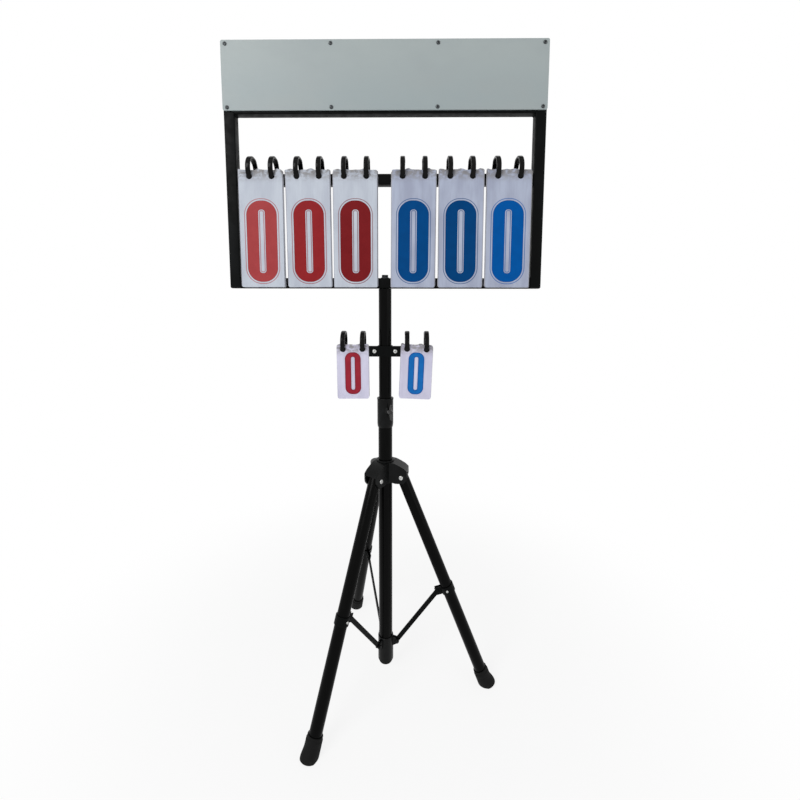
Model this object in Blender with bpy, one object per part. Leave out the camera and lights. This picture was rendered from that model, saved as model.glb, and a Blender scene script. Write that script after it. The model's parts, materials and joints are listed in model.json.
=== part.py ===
"""Flip scoreboard on a folding tripod stand.

A welded frame of square tube carries a header sheet and six pads of digit cards on plastic rings.
The frame stands on a telescopic mast, which also carries a flat bar with two small set-score pads.
The mast stands on three legs that fold against it: a hub slides on the lower tube, and three
braces run from a collar at the tube's foot up to a clip on each leg.

Units are metres, +Z is up and the floor is Z = 0. The front of the board faces -Y.
"""

import math

import bmesh
import bpy
from mathutils import Matrix, Vector
from mathutils.geometry import tessellate_polygon

MM = 0.001

# Clearance that pieces keep to each other where they touch, fit or slide
GAP = 0.3 * MM

# Depth by which shapes that a Boolean joins reach into each other
BITE = 0.2 * MM

# Driving dimensions of the board
BOARD_WIDTH = 600 * MM
BOARD_HEIGHT = 450 * MM
FRAME_TUBE = 20 * MM
FRAME_WALL = 1.2 * MM
FRAME_CORNER = 1.5 * MM
PANEL_HEIGHT = 123 * MM
PANEL_THICKNESS = 3 * MM
PANEL_RAIL_SHOWS = 4.5 * MM
RING_BAR_TOP = 214.5 * MM
BEVEL_STEPS = 2
PANEL_SCREW_SIDE = 8.5 * MM
PANEL_SCREW_TOP = 7 * MM
PANEL_SCREW_BOTTOM = 5.5 * MM
PANEL_SCREW_INNER = 98 * MM
PANEL_SCREW_RADIUS = 2 * MM
PANEL_SCREW_HEAD = 3.6 * MM
PANEL_SCREW_HEAD_HEIGHT = 2 * MM

# Driving dimensions of the rings and cards
RING_RADIUS = 22 * MM
RING_BAND_WIDTH = 8 * MM
RING_BAND_THICKNESS = 5 * MM
RING_HOLE_RADIUS = 5.5 * MM
DIGITS_PER_SIDE = 3
CARD_EDGE_MARGIN = 6 * MM
CARD_SPACING = 7 * MM
CENTRE_SPACING = 28 * MM
CARD_HOLE_SIDE = 20 * MM
CARD_HEIGHT = 218 * MM
CARD_CORNER = 2 * MM
CARD_HOLE_RADIUS = 6.7 * MM
CARD_HOLE_INSET = 13 * MM
LEAF_THICKNESS = 0.25 * MM
FRONT_CARD_THICKNESS = 0.4 * MM
NUMERAL_RELIEF = 0.3 * MM
LEAVES_BEHIND = 9
STACK_GROOVES = 2
GROOVE_DEPTH = 1 * MM
NUMERAL_SIDE = 12 * MM
NUMERAL_HEIGHT = 152 * MM
NUMERAL_SLOT_WIDTH = 12.3 * MM
NUMERAL_SLOT_HEIGHT = 118.5 * MM
NUMERAL_ABOVE_EDGE = 10 * MM

# Driving dimensions of the set-score pads and their bar
SET_BAR_END = 10.5 * MM
SET_BAR_HEIGHT = 21 * MM
SET_BAR_THICKNESS = 2.5 * MM
SET_BAR_CORNER = 3 * MM
SET_BAR_BELOW_TOP = 121.5 * MM
SET_DIGIT_X = 62.5 * MM
SET_RING_RADIUS = 20 * MM
SET_RING_SETBACK = 11 * MM
SET_CARD_HOLE_SIDE = 12 * MM
SET_CARD_WIDTH = 62 * MM
SET_CARD_HEIGHT = 108 * MM
SET_CARD_CORNER = 4 * MM
SET_CARD_HOLE_INSET = 11 * MM
SET_LEAVES_BEHIND = 5
SET_NUMERAL_WIDTH = 31 * MM
SET_NUMERAL_HEIGHT = 83 * MM
SET_NUMERAL_SLOT_WIDTH = 7 * MM
SET_NUMERAL_SLOT_HEIGHT = 65 * MM
SET_NUMERAL_ABOVE_EDGE = 9 * MM
SADDLE_THICKNESS = 2 * MM
SADDLE_HEIGHT = 20 * MM
SADDLE_EAR = 11 * MM
SET_SCREW_RADIUS = 2 * MM
SET_SCREW_HEAD = 4.2 * MM
SET_SCREW_HEAD_HEIGHT = 2.4 * MM
SET_NUT_RADIUS = 4 * MM
SET_NUT_HEIGHT = 3.2 * MM

# Driving dimensions of the mast
MAST_RADIUS = 12.5 * MM
MAST_WALL = 1.2 * MM
MAST_TOP = 819.4 * MM
MAST_LENGTH = 550 * MM
MAST_PLUG_DEPTH = 28 * MM
BOARD_BOLT_RADIUS = 3 * MM
BOARD_BOLT_DEPTH = 22 * MM
BOARD_FLANGE_RADIUS = 8.5 * MM

# Driving dimensions of the stand
TUBE_WALL = 1.2 * MM
TUBE_TOP = 593.4 * MM
TUBE_BOTTOM = 30.5 * MM
END_CAP_DEPTH = 18 * MM
END_CAP_DOME = 6 * MM
COLLAR_WALL = 1.7 * MM
COLLAR_ABOVE_TUBE = 9 * MM
COLLAR_HEIGHT = 59 * MM
COLLAR_TAPER = 7 * MM
COLLAR_RIM = 1.5 * MM
COLLAR_BOSS_RADIUS = 6 * MM
COLLAR_BOSS_HEIGHT = 3.5 * MM
KNOB_BELOW_COLLAR_TOP = 24 * MM
KNOB_AZIMUTH = math.radians(-65)
KNOB_SCREW_RADIUS = 2.9 * MM
KNOB_BODY_RADIUS = 5.5 * MM
KNOB_BODY_HEIGHT = 8 * MM
WING_SPAN = 16.5 * MM
WING_HEIGHT = 12.5 * MM
WING_THICKNESS = 4 * MM
HUB_PIVOT_RADIUS = 33.7 * MM
HUB_PIVOT_Z = 443 * MM
HUB_ABOVE_PIVOT = 32.5 * MM
HUB_BELOW_PIVOT = 13 * MM
HUB_SLEEVE_WALL = 3.9 * MM
HUB_CHEEK = 4 * MM
HUB_REACH = 12.6 * MM
HUB_ROOF = 3.5 * MM
FOOT_CIRCLE_RADIUS = 211.9 * MM
LEG_RADIUS = 12 * MM
LEG_WALL = 1.2 * MM
LEG_ABOVE_PIVOT = 8 * MM
FRONT_LEG_AZIMUTH = math.radians(-126.2)
LEG_COUNT = 3
PIVOT_SCREW_RADIUS = 2.8 * MM
PIVOT_SCREW_HEAD = 4.6 * MM
PIVOT_SCREW_HEAD_HEIGHT = 2.4 * MM
FOOT_HEIGHT = 35 * MM
FOOT_CUFF = 5 * MM
FOOT_WALL = 1.8 * MM
FOOT_STEP = 1 * MM
FOOT_BULGE = 4.5 * MM
FOOT_BULGE_HEIGHT = 18 * MM
FOOT_SOLE = 14 * MM
CLIP_ON_LEG = 242.4 * MM
CLIP_HEIGHT = 16 * MM
CLIP_STRAP = 1.7 * MM
CLIP_PIVOT_OFFSET = 21 * MM
CLIP_EAR_TIP = 5 * MM
BRACE_WIDTH = 9 * MM
BRACE_THICKNESS = 3 * MM
BRACE_PIN_RADIUS = 2 * MM
BRACE_PIN_HEAD = 3.6 * MM
BRACE_PIN_HEAD_HEIGHT = 1.8 * MM
BRACE_AIM_Z = 43 * MM
LOWER_PIVOT_OUTSIDE = 7.5 * MM
LOWER_COLLAR_WALL = 1.7 * MM
LOWER_COLLAR_ABOVE_CAP = 3 * MM
LOWER_COLLAR_HEIGHT = 55 * MM
LUG_THICKNESS = 2.5 * MM
LUG_RADIUS = 5.5 * MM

# Facets of round pieces
FINE_FACETS = 32
ROUND_FACETS = 24
MEDIUM_FACETS = 16
SMALL_FACETS = 12
TINY_FACETS = 8
RING_STEPS = 16
AXIS_MARK_SIZE = 20 * MM

# Sizes that follow from the driving dimensions
HALF_TUBE = FRAME_TUBE / 2
BOARD_BOTTOM = MAST_TOP + GAP
BOARD_TOP = BOARD_BOTTOM + BOARD_HEIGHT
BOARD_FRONT = -HALF_TUBE
PANEL_BOTTOM = BOARD_TOP - PANEL_HEIGHT
PANEL_RAIL_Z = PANEL_BOTTOM - PANEL_RAIL_SHOWS + HALF_TUBE
RING_BAR_Z = BOARD_BOTTOM + RING_BAR_TOP - HALF_TUBE
LEAF_PITCH = LEAF_THICKNESS + GAP
SIDE_WIDTH = BOARD_WIDTH / 2 - FRAME_TUBE - CARD_EDGE_MARGIN - CENTRE_SPACING / 2
CARD_WIDTH = (SIDE_WIDTH - (DIGITS_PER_SIDE - 1) * CARD_SPACING) / DIGITS_PER_SIDE
DIGIT_PITCH = CARD_WIDTH + CARD_SPACING
INNER_DIGIT_X = (CENTRE_SPACING + CARD_WIDTH) / 2
RING_SPACING = CARD_WIDTH - 2 * CARD_HOLE_SIDE
NUMERAL_WIDTH = CARD_WIDTH - 2 * NUMERAL_SIDE
TUBE_RADIUS = MAST_RADIUS + GAP + TUBE_WALL
ON_TUBE = TUBE_RADIUS + GAP
COLLAR_RADIUS = ON_TUBE + COLLAR_WALL
COLLAR_TOP = TUBE_TOP + COLLAR_ABOVE_TUBE
COLLAR_BOTTOM = COLLAR_TOP - COLLAR_HEIGHT
COLLAR_BOSS_REACH = COLLAR_RADIUS + COLLAR_BOSS_HEIGHT
KNOB_Z = COLLAR_TOP - KNOB_BELOW_COLLAR_TOP
HUB_TOP = HUB_PIVOT_Z + HUB_ABOVE_PIVOT
HUB_BOTTOM = HUB_PIVOT_Z - HUB_BELOW_PIVOT
HUB_SLEEVE_RADIUS = ON_TUBE + HUB_SLEEVE_WALL
HUB_SLOT_HALF = LEG_RADIUS + GAP
HUB_HALF_WIDTH = HUB_SLOT_HALF + HUB_CHEEK
LOWER_COLLAR_RADIUS = ON_TUBE + LOWER_COLLAR_WALL
LOWER_COLLAR_BOTTOM = TUBE_BOTTOM + LOWER_COLLAR_ABOVE_CAP
LOWER_COLLAR_TOP = LOWER_COLLAR_BOTTOM + LOWER_COLLAR_HEIGHT
LOWER_PIVOT_RADIUS = LOWER_COLLAR_RADIUS + LOWER_PIVOT_OUTSIDE
CLIP_EAR_INNER = BRACE_THICKNESS / 2 + GAP
CLIP_EAR_OUTER = CLIP_EAR_INNER + CLIP_STRAP
LEG_TILT = math.atan2(FOOT_CIRCLE_RADIUS - HUB_PIVOT_RADIUS, HUB_PIVOT_Z)
LEG_LENGTH = math.hypot(FOOT_CIRCLE_RADIUS - HUB_PIVOT_RADIUS, HUB_PIVOT_Z)
LEG_AZIMUTHS = [FRONT_LEG_AZIMUTH + i * math.tau / LEG_COUNT for i in range(LEG_COUNT)]
LEG_NAMES = ["front_leg", "right_leg", "rear_leg"]


def ring_rise():
    """Height of a ring's centre above its hole in the square bar: the mean of the two heights at
    which the band's outer and inner faces pass the bar's walls."""
    half_band = RING_BAND_THICKNESS / 2
    lower = math.sqrt((RING_RADIUS + half_band) ** 2 - (HALF_TUBE - FRAME_WALL) ** 2)
    upper = math.sqrt((RING_RADIUS - half_band) ** 2 - HALF_TUBE ** 2)
    return (lower + upper) / 2


RING_CENTRE_Z = RING_BAR_Z + ring_rise()
SET_BAR_Z = MAST_TOP - SET_BAR_BELOW_TOP
SET_BAR_BACK = -(MAST_RADIUS + GAP)
SET_BAR_FRONT = SET_BAR_BACK - SET_BAR_THICKNESS
SET_RING_Y = (SET_BAR_BACK + SET_BAR_FRONT) / 2 + SET_RING_SETBACK
SET_RING_Z = SET_BAR_Z + math.sqrt(SET_RING_RADIUS ** 2 - SET_RING_SETBACK ** 2)
SET_RING_SPACING = SET_CARD_WIDTH - 2 * SET_CARD_HOLE_SIDE
SET_BAR_LENGTH = 2 * (SET_DIGIT_X + SET_RING_SPACING / 2 + SET_BAR_END)
SADDLE_INNER = MAST_RADIUS + GAP
SADDLE_OUTER = SADDLE_INNER + SADDLE_THICKNESS
SET_SCREW_X = SADDLE_OUTER + SADDLE_EAR / 2


def brace_points():
    """Upper and lower pivot of a brace, as (radius, height) in the leg's own vertical plane.

    The brace's centre line aims at the leg's axis at CLIP_ON_LEG and at the mast's axis at
    BRACE_AIM_Z. Its upper pivot lies CLIP_PIVOT_OFFSET inside the leg's axis, and its lower one
    at LOWER_PIVOT_RADIUS.
    """
    along = Vector((math.sin(LEG_TILT), -math.cos(LEG_TILT)))
    inward = Vector((-math.cos(LEG_TILT), -math.sin(LEG_TILT)))
    on_leg = Vector((HUB_PIVOT_RADIUS, HUB_PIVOT_Z)) + along * CLIP_ON_LEG
    line = (on_leg - Vector((0, BRACE_AIM_Z))).normalized()
    upper = on_leg + line * (CLIP_PIVOT_OFFSET / line.dot(inward))
    lower = upper - line * ((upper.x - LOWER_PIVOT_RADIUS) / line.x)
    return upper, lower


UPPER_PIVOT, LOWER_PIVOT = brace_points()
BRACE_LENGTH = (UPPER_PIVOT - LOWER_PIVOT).length
BRACE_TILT = math.atan2(UPPER_PIVOT.x - LOWER_PIVOT.x, UPPER_PIVOT.y - LOWER_PIVOT.y)
CLIP_Z = -(UPPER_PIVOT - Vector((HUB_PIVOT_RADIUS, HUB_PIVOT_Z))).dot(
    Vector((math.sin(LEG_TILT), -math.cos(LEG_TILT))))


# Scene and objects

def clear_scene():
    for obj in list(bpy.data.objects):
        bpy.data.objects.remove(obj, do_unlink=True)


def material(name, colour, roughness, metallic=0.0):
    found = bpy.data.materials.get(name)
    if found:
        return found
    made = bpy.data.materials.new(name)
    made.use_nodes = True
    shader = made.node_tree.nodes["Principled BSDF"]
    shader.inputs["Base Color"].default_value = (*colour, 1.0)
    shader.inputs["Roughness"].default_value = roughness
    shader.inputs["Metallic"].default_value = metallic
    made.diffuse_color = (*colour, 1.0)
    return made


def black_steel():
    return material("powder coated steel", (0.012, 0.012, 0.013), 0.45, 0.1)


def gloss_black_steel():
    return material("gloss painted steel", (0.009, 0.009, 0.010), 0.22, 0.1)


def black_plastic():
    return material("moulded black plastic", (0.014, 0.014, 0.015), 0.4)


def ring_plastic():
    return material("glossy ring plastic", (0.010, 0.010, 0.011), 0.25)


def black_rubber():
    return material("black rubber", (0.013, 0.012, 0.012), 0.7)


def bright_zinc():
    return material("bright zinc", (0.62, 0.62, 0.6), 0.3, 1.0)


def grey_sheet():
    return material("grey sheet", (0.36, 0.40, 0.40), 0.5)


def card_white():
    return material("card white", (0.72, 0.72, 0.80), 0.35)


def card_red():
    return material("red numeral card", (0.45, 0.05, 0.06), 0.35)


def card_blue():
    return material("blue numeral card", (0.02, 0.12, 0.42), 0.35)


def empty(name, parent, location=(0, 0, 0), rotation=(0, 0, 0)):
    made = bpy.data.objects.new(name, None)
    made.empty_display_size = AXIS_MARK_SIZE
    made.location = location
    made.rotation_euler = rotation
    made.parent = parent
    bpy.context.scene.collection.objects.link(made)
    return made


def piece(name, shape, look, parent, sharp=math.radians(35)):
    """A named object made from a bmesh, in its parent's frame."""
    mesh = bpy.data.meshes.new(name)
    shape.to_mesh(mesh)
    shape.free()
    mesh.materials.append(look)
    mesh.shade_smooth()
    mesh.set_sharp_from_angle(angle=sharp)
    made = bpy.data.objects.new(name, mesh)
    made.parent = parent
    bpy.context.scene.collection.objects.link(made)
    return made


def boolean(target, operation, tool_shape, parent=None, look=None):
    """Adds an exact Boolean to target. The tool is a hidden guide in the same parent's frame, and
    what it adds to the target keeps the tool's own look, if it has one."""
    mesh = bpy.data.meshes.new("tool")
    tool_shape.to_mesh(mesh)
    tool_shape.free()
    if look:
        mesh.materials.append(look)
    tool = bpy.data.objects.new(f"tool_{len(bpy.data.objects):03d}", mesh)
    tool.parent = parent or target.parent
    tool.hide_render = True
    tool.display_type = "WIRE"
    bpy.context.scene.collection.objects.link(tool)
    modifier = target.modifiers.new(operation.lower(), "BOOLEAN")
    modifier.operation = operation
    modifier.solver = "EXACT"
    modifier.material_mode = "TRANSFER" if look else "INDEX"
    modifier.object = tool


# Outlines, as lists of (x, y) points

def arc(centre, radius, start, end, steps):
    """Points on a circle from angle start to angle end, both included."""
    angles = [start + (end - start) * i / steps for i in range(steps + 1)]
    return [(centre[0] + radius * math.cos(a), centre[1] + radius * math.sin(a)) for a in angles]


def circle(radius, facets, centre=(0, 0)):
    return arc(centre, radius, 0, math.tau, facets)[:-1]


def rounded_box(width, height, radius, steps=3, centre=(0, 0)):
    """A rectangle with rounded corners."""
    points = []
    for i, (sx, sy) in enumerate([(1, 1), (-1, 1), (-1, -1), (1, -1)]):
        corner = (centre[0] + sx * (width / 2 - radius), centre[1] + sy * (height / 2 - radius))
        points += arc(corner, radius, i * math.pi / 2, (i + 1) * math.pi / 2, steps)
    return points


def stadium(width, height, centre, steps=6):
    """A tall slot with half-round ends."""
    radius = width / 2
    rise = height / 2 - radius
    upper = arc((centre[0], centre[1] + rise), radius, 0, math.pi, steps)
    lower = arc((centre[0], centre[1] - rise), radius, math.pi, math.tau, steps)
    return upper + lower


# Solids, as bmeshes

def layered(sections, holes=()):
    """A solid along Z through several (outline, height) sections with as many points each, with
    straight holes through all of it."""
    made = bmesh.new()
    low, high = (made_loops(made, [sections[i][0], *holes], sections[i][1]) for i in (0, -1))
    between = [made_loops(made, [outline], height)[0] for outline, height in sections[1:-1]]
    walls = [low[0], *between, high[0]]
    strips = list(zip(walls, walls[1:])) + list(zip(low[1:], high[1:]))
    for under, over in strips:
        for i in range(len(under)):
            j = (i + 1) % len(under)
            made.faces.new((under[i], under[j], over[j], over[i]))
    for loops in (low, high):
        points = [vertex for loop in loops for vertex in loop]
        for corners in tessellate_polygon([[vertex.co for vertex in loop] for loop in loops]):
            made.faces.new([points[i] for i in corners])
    bmesh.ops.recalc_face_normals(made, faces=made.faces)
    return made


def made_loops(made, loops, height):
    """Vertices for each loop of (x, y) points at a height."""
    return [[made.verts.new((x, y, height)) for x, y in loop] for loop in loops]


def plate(outline, thickness, holes=()):
    """An outline with holes in the XY plane, made solid from Z = 0 to Z = thickness."""
    return layered([(outline, 0), (outline, thickness)], holes)


def turned(profile, facets):
    """A closed profile of (radius, height) points, turned about Z. A point at radius 0 is a pole."""
    made = bmesh.new()
    angles = [math.tau * i / facets for i in range(facets)]
    rings = []
    for radius, height in profile:
        if radius == 0:
            rings.append([made.verts.new((0, 0, height))])
        else:
            rings.append([made.verts.new((radius * math.cos(a), radius * math.sin(a), height))
                          for a in angles])
    for ring, after in zip(rings, rings[1:] + rings[:1]):
        for i in range(facets):
            j = (i + 1) % facets
            corners = [ring[i % len(ring)], ring[j % len(ring)],
                       after[j % len(after)], after[i % len(after)]]
            unique = list(dict.fromkeys(corners))
            if len(unique) > 2:
                made.faces.new(unique)
    bmesh.ops.recalc_face_normals(made, faces=made.faces)
    return made


def moved(shape, matrix):
    bmesh.ops.transform(shape, matrix=matrix, verts=shape.verts)
    if matrix.determinant() < 0:
        bmesh.ops.reverse_faces(shape, faces=shape.faces)
    return shape


def shifted(shape, x=0.0, y=0.0, z=0.0):
    return moved(shape, Matrix.Translation((x, y, z)))


def together(*shapes):
    """Several separate solids in one bmesh."""
    made = bmesh.new()
    for shape in shapes:
        mesh = bpy.data.meshes.new("part")
        shape.to_mesh(mesh)
        shape.free()
        made.from_mesh(mesh)
        bpy.data.meshes.remove(mesh)
    return made


def upright_frame():
    """Turns a shape drawn in XY, and thick along Z, so that it stands in XZ, thick towards -Y."""
    return Matrix.Rotation(math.pi / 2, 4, "X")


def to_axis(direction, start=(0, 0, 0)):
    """Turns +Z onto a direction and moves the origin to start."""
    turn = Vector((0, 0, 1)).rotation_difference(Vector(direction)).to_matrix().to_4x4()
    return Matrix.Translation(start) @ turn


def rod(radius, start, end, facets=SMALL_FACETS):
    """A plain round bar from start to end."""
    span = Vector(end) - Vector(start)
    shape = turned([(0, 0), (radius, 0), (radius, span.length), (0, span.length)], facets)
    return moved(shape, to_axis(span, start))


def hollow(outer, wall, bottom, top, facets):
    """A round tube about Z."""
    inner = outer - wall
    return turned([(outer, bottom), (outer, top), (inner, top), (inner, bottom)], facets)


def screw(head_radius, head_height, radius, length):
    """A pan-head screw along +Z, seated at Z = 0: its shank reaches down by length, and the head
    bites a little into the seat, so that a Boolean can join them."""
    return turned([(0, -length), (radius, -length), (radius, -BITE), (head_radius, -BITE),
                   (head_radius, head_height * 0.5), (head_radius * 0.7, head_height),
                   (0, head_height)], TINY_FACETS)


def barrel_pin(radius, head_radius, head_height, half_grip, facets=SMALL_FACETS):
    """A pin along Z with a domed head at each end, and half_grip from its middle to a head."""
    high = half_grip + head_height
    step = half_grip + head_height * 0.4
    rim = head_radius * 0.7
    return turned([(0, -high), (rim, -high), (head_radius, -step), (head_radius, -half_grip),
                   (radius, -half_grip), (radius, half_grip), (head_radius, half_grip),
                   (head_radius, step), (rim, high), (0, high)], facets)


# Board frame

def panel_screw_places():
    """X and Z of the eight screws that hold the header sheet."""
    side = BOARD_WIDTH / 2 - PANEL_SCREW_SIDE
    rows = [BOARD_TOP - PANEL_SCREW_TOP, PANEL_BOTTOM + PANEL_SCREW_BOTTOM]
    return [(x, z) for z in rows for x in (-side, -PANEL_SCREW_INNER, PANEL_SCREW_INNER, side)]


def ring_places(centre_x, spacing):
    return [centre_x - spacing / 2, centre_x + spacing / 2]


def digit_places():
    """X of the six digits' centres, from left to right."""
    right = [INNER_DIGIT_X + i * DIGIT_PITCH for i in range(DIGITS_PER_SIDE)]
    return [-x for x in reversed(right)] + right


def square_tube(length, direction, start):
    """Square tube with rounded edges and an open bore, from a start point along a direction."""
    inner = FRAME_TUBE - 2 * FRAME_WALL
    outline = rounded_box(FRAME_TUBE, FRAME_TUBE, FRAME_CORNER, BEVEL_STEPS)
    bore = rounded_box(inner, inner, FRAME_CORNER / 2, BEVEL_STEPS)
    return moved(plate(outline, length, [bore]), to_axis(direction, start))


def panel_screw_drills(low, high):
    """Holes for those of the sheet's screws that lie between two corners, given as (x, z)."""
    return [rod(PANEL_SCREW_RADIUS + GAP, (x, -FRAME_TUBE, z), (x, -HALF_TUBE / 2, z), TINY_FACETS)
            for x, z in panel_screw_places()
            if low[0] < x < high[0] and low[1] < z < high[1]]


def make_uprights(parent):
    """Left and right uprights over the full height, drilled for the sheet's outer screws."""
    for name, side in (("left_upright", -1), ("right_upright", 1)):
        x = side * (BOARD_WIDTH / 2 - HALF_TUBE)
        shape = square_tube(BOARD_TOP - BOARD_BOTTOM, (0, 0, 1), (x, 0, BOARD_BOTTOM))
        upright = piece(name, shape, black_steel(), parent)
        drills = panel_screw_drills((x - HALF_TUBE, BOARD_BOTTOM), (x + HALF_TUBE, BOARD_TOP))
        boolean(upright, "DIFFERENCE", together(*drills))


def make_rail(name, z, drills, parent):
    """Square tube from upright to upright, a gap away from each, with its own holes."""
    length = BOARD_WIDTH - 2 * FRAME_TUBE - 2 * GAP
    shape = square_tube(length, (1, 0, 0), (-length / 2, 0, z))
    rail = piece(name, shape, black_steel(), parent)
    boolean(rail, "DIFFERENCE", together(*drills))


def make_rails(parent):
    """Bottom rail with the bolt's hole, drilled ring bar, and the two rails behind the sheet."""
    half_bay = BOARD_WIDTH / 2 - FRAME_TUBE
    bolt_hole = rod(BOARD_BOLT_RADIUS + GAP, (0, 0, BOARD_BOTTOM - MM),
                    (0, 0, BOARD_BOTTOM + FRAME_TUBE + MM), MEDIUM_FACETS)
    make_rail("bottom_rail", BOARD_BOTTOM + HALF_TUBE, [bolt_hole], parent)
    ring_holes = [rod(RING_HOLE_RADIUS, (x, -FRAME_TUBE, RING_BAR_Z), (x, FRAME_TUBE, RING_BAR_Z))
                  for digit in digit_places() for x in ring_places(digit, RING_SPACING)]
    make_rail("ring_bar", RING_BAR_Z, ring_holes, parent)
    for name, z in (("panel_rail", PANEL_RAIL_Z), ("top_rail", BOARD_TOP - HALF_TUBE)):
        drills = panel_screw_drills((-half_bay, z - HALF_TUBE), (half_bay, z + HALF_TUBE))
        make_rail(name, z, drills, parent)


def make_header_panel(parent):
    """Grey sheet with the eight screws that hold it on the frame."""
    outline = rounded_box(BOARD_WIDTH, PANEL_HEIGHT, FRAME_CORNER, steps=2,
                          centre=(0, PANEL_BOTTOM + PANEL_HEIGHT / 2))
    sheet = shifted(moved(plate(outline, PANEL_THICKNESS), upright_frame()), y=BOARD_FRONT - GAP)
    panel = piece("header_panel", sheet, grey_sheet(), parent)
    front = BOARD_FRONT - GAP - PANEL_THICKNESS
    reach = PANEL_THICKNESS + 3 * FRAME_WALL
    screws = [moved(screw(PANEL_SCREW_HEAD, PANEL_SCREW_HEAD_HEIGHT, PANEL_SCREW_RADIUS, reach),
                    to_axis((0, -1, 0), (x, front, z))) for x, z in panel_screw_places()]
    boolean(panel, "UNION", together(*screws), look=bright_zinc())


def make_board_bolt(parent):
    """The flanged bolt that holds the board on the mast."""
    seat = BOARD_BOTTOM + FRAME_TUBE + GAP
    flange = 1.2 * MM
    head = 6 * MM
    crown = 6 * MM
    profile = [(0, MAST_TOP - BOARD_BOLT_DEPTH), (BOARD_BOLT_RADIUS, MAST_TOP - BOARD_BOLT_DEPTH),
               (BOARD_BOLT_RADIUS, seat), (BOARD_FLANGE_RADIUS, seat),
               (BOARD_FLANGE_RADIUS, seat + flange), (head, seat + flange),
               (head, seat + crown - MM), (head - MM, seat + crown), (0, seat + crown)]
    piece("board_bolt", turned(profile, MEDIUM_FACETS), bright_zinc(), parent)


# Rings and cards

def ring_shape(radius, x, y, z):
    """One ring about the X axis: a band with a six-sided section, closed all round."""
    half = RING_BAND_WIDTH / 2
    ridge = RING_BAND_THICKNESS / 2
    shoulder = ridge / 2
    section = [(radius + ridge, 0), (radius + shoulder, half), (radius - shoulder, half),
               (radius - ridge, 0), (radius - shoulder, -half), (radius + shoulder, -half)]
    return moved(turned(section, RING_STEPS), to_axis((1, 0, 0), (x, y, z)))


def make_rings(name, radius, centre, spacing, parent):
    """The two rings of a pad, about the X axis through centre."""
    for side, x in zip(("left", "right"), ring_places(centre[0], spacing)):
        piece(f"{name}_{side}_ring", ring_shape(radius, x, centre[1], centre[2]), ring_plastic(),
              parent, sharp=math.radians(50))


class CardSizes:
    """Sizes of one kind of card, and where it hangs from the centre of its rings.

    The card's local origin is the rings' common centre, X is along the board, and the card hangs
    in a plane in front of the bar whose front face lies at bar_front.
    """

    def __init__(self, width, height, corner, hole_inset, ring_radius, spacing, leaves, bar_front,
                 numeral):
        self.width = width
        self.height = height
        self.corner = corner
        self.spacing = spacing
        self.leaves = leaves
        self.first_leaf = bar_front - GAP
        self.front_card = self.first_leaf - leaves * LEAF_PITCH
        half_band = RING_BAND_THICKNESS / 2
        front_face = self.front_card - FRONT_CARD_THICKNESS
        highest = math.sqrt((ring_radius - half_band) ** 2 - front_face ** 2)
        lowest = math.sqrt((ring_radius + half_band) ** 2 - self.first_leaf ** 2)
        self.hole_z = -(highest + lowest) / 2
        self.top = self.hole_z + hole_inset
        self.numeral = numeral

    def outline(self, grow=0.0):
        return rounded_box(self.width + 2 * grow, self.height + 2 * grow, self.corner, steps=1,
                           centre=(0, self.top - self.height / 2))

    def holes(self, facets):
        return [circle(CARD_HOLE_RADIUS, facets, (x, self.hole_z))
                for x in ring_places(0, self.spacing)]

    def front_leaf(self):
        """The front card with its two holes."""
        shape = plate(self.outline(), FRONT_CARD_THICKNESS, self.holes(SMALL_FACETS))
        return shifted(moved(shape, upright_frame()), y=self.front_card)

    def zero(self):
        """The 0 on the front card: a ring-shaped print with half-round ends and a long slot."""
        width, height, slot_width, slot_height, above_edge = self.numeral
        centre = (0, self.top - self.height + above_edge + height / 2)
        slot = stadium(slot_width, slot_height, centre, steps=4)
        sunk = FRONT_CARD_THICKNESS / 2
        shape = plate(stadium(width, height, centre), sunk + NUMERAL_RELIEF, [slot])
        return shifted(moved(shape, upright_frame()), y=self.front_card - sunk)


def make_card_stack(name, card, pivot):
    """The cards behind the front one, as one pad with grooves between bundles of cards."""
    depth = card.leaves * LEAF_PITCH - GAP
    bundle = (depth - STACK_GROOVES * GAP) / (STACK_GROOVES + 1)
    sections = []
    for i in range(STACK_GROOVES + 1):
        low = i * (bundle + GAP)
        if i > 0:
            sections += [(card.outline(-GROOVE_DEPTH), low - GAP), (card.outline(-GROOVE_DEPTH), low)]
        sections += [(card.outline(), low), (card.outline(), low + bundle)]
    shape = moved(layered(sections, card.holes(TINY_FACETS)), upright_frame())
    piece(name, shifted(shape, y=card.first_leaf), card_white(), pivot)


def make_front_card(name, card, look, pivot):
    front = piece(name, card.front_leaf(), card_white(), pivot)
    boolean(front, "UNION", card.zero(), look=look)


def make_score_pads(parent):
    """Six pads of cards, each on its own pair of rings in the ring bar."""
    numeral = (NUMERAL_WIDTH, NUMERAL_HEIGHT, NUMERAL_SLOT_WIDTH, NUMERAL_SLOT_HEIGHT,
               NUMERAL_ABOVE_EDGE)
    card = CardSizes(CARD_WIDTH, CARD_HEIGHT, CARD_CORNER, CARD_HOLE_INSET, RING_RADIUS,
                     RING_SPACING, LEAVES_BEHIND, BOARD_FRONT, numeral)
    for i, x in enumerate(digit_places()):
        side = "red" if i < DIGITS_PER_SIDE else "blue"
        number = i % DIGITS_PER_SIDE + 1
        look = card_red() if side == "red" else card_blue()
        centre = (x, 0, RING_CENTRE_Z)
        make_rings(f"{side}_{number}", RING_RADIUS, centre, RING_SPACING, parent)
        pivot = empty(f"{side}_{number}_flip_axis", parent, centre)
        make_card_stack(f"{side}_{number}_card_stack", card, pivot)
        make_front_card(f"{side}_{number}_front_card", card, look, pivot)


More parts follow.
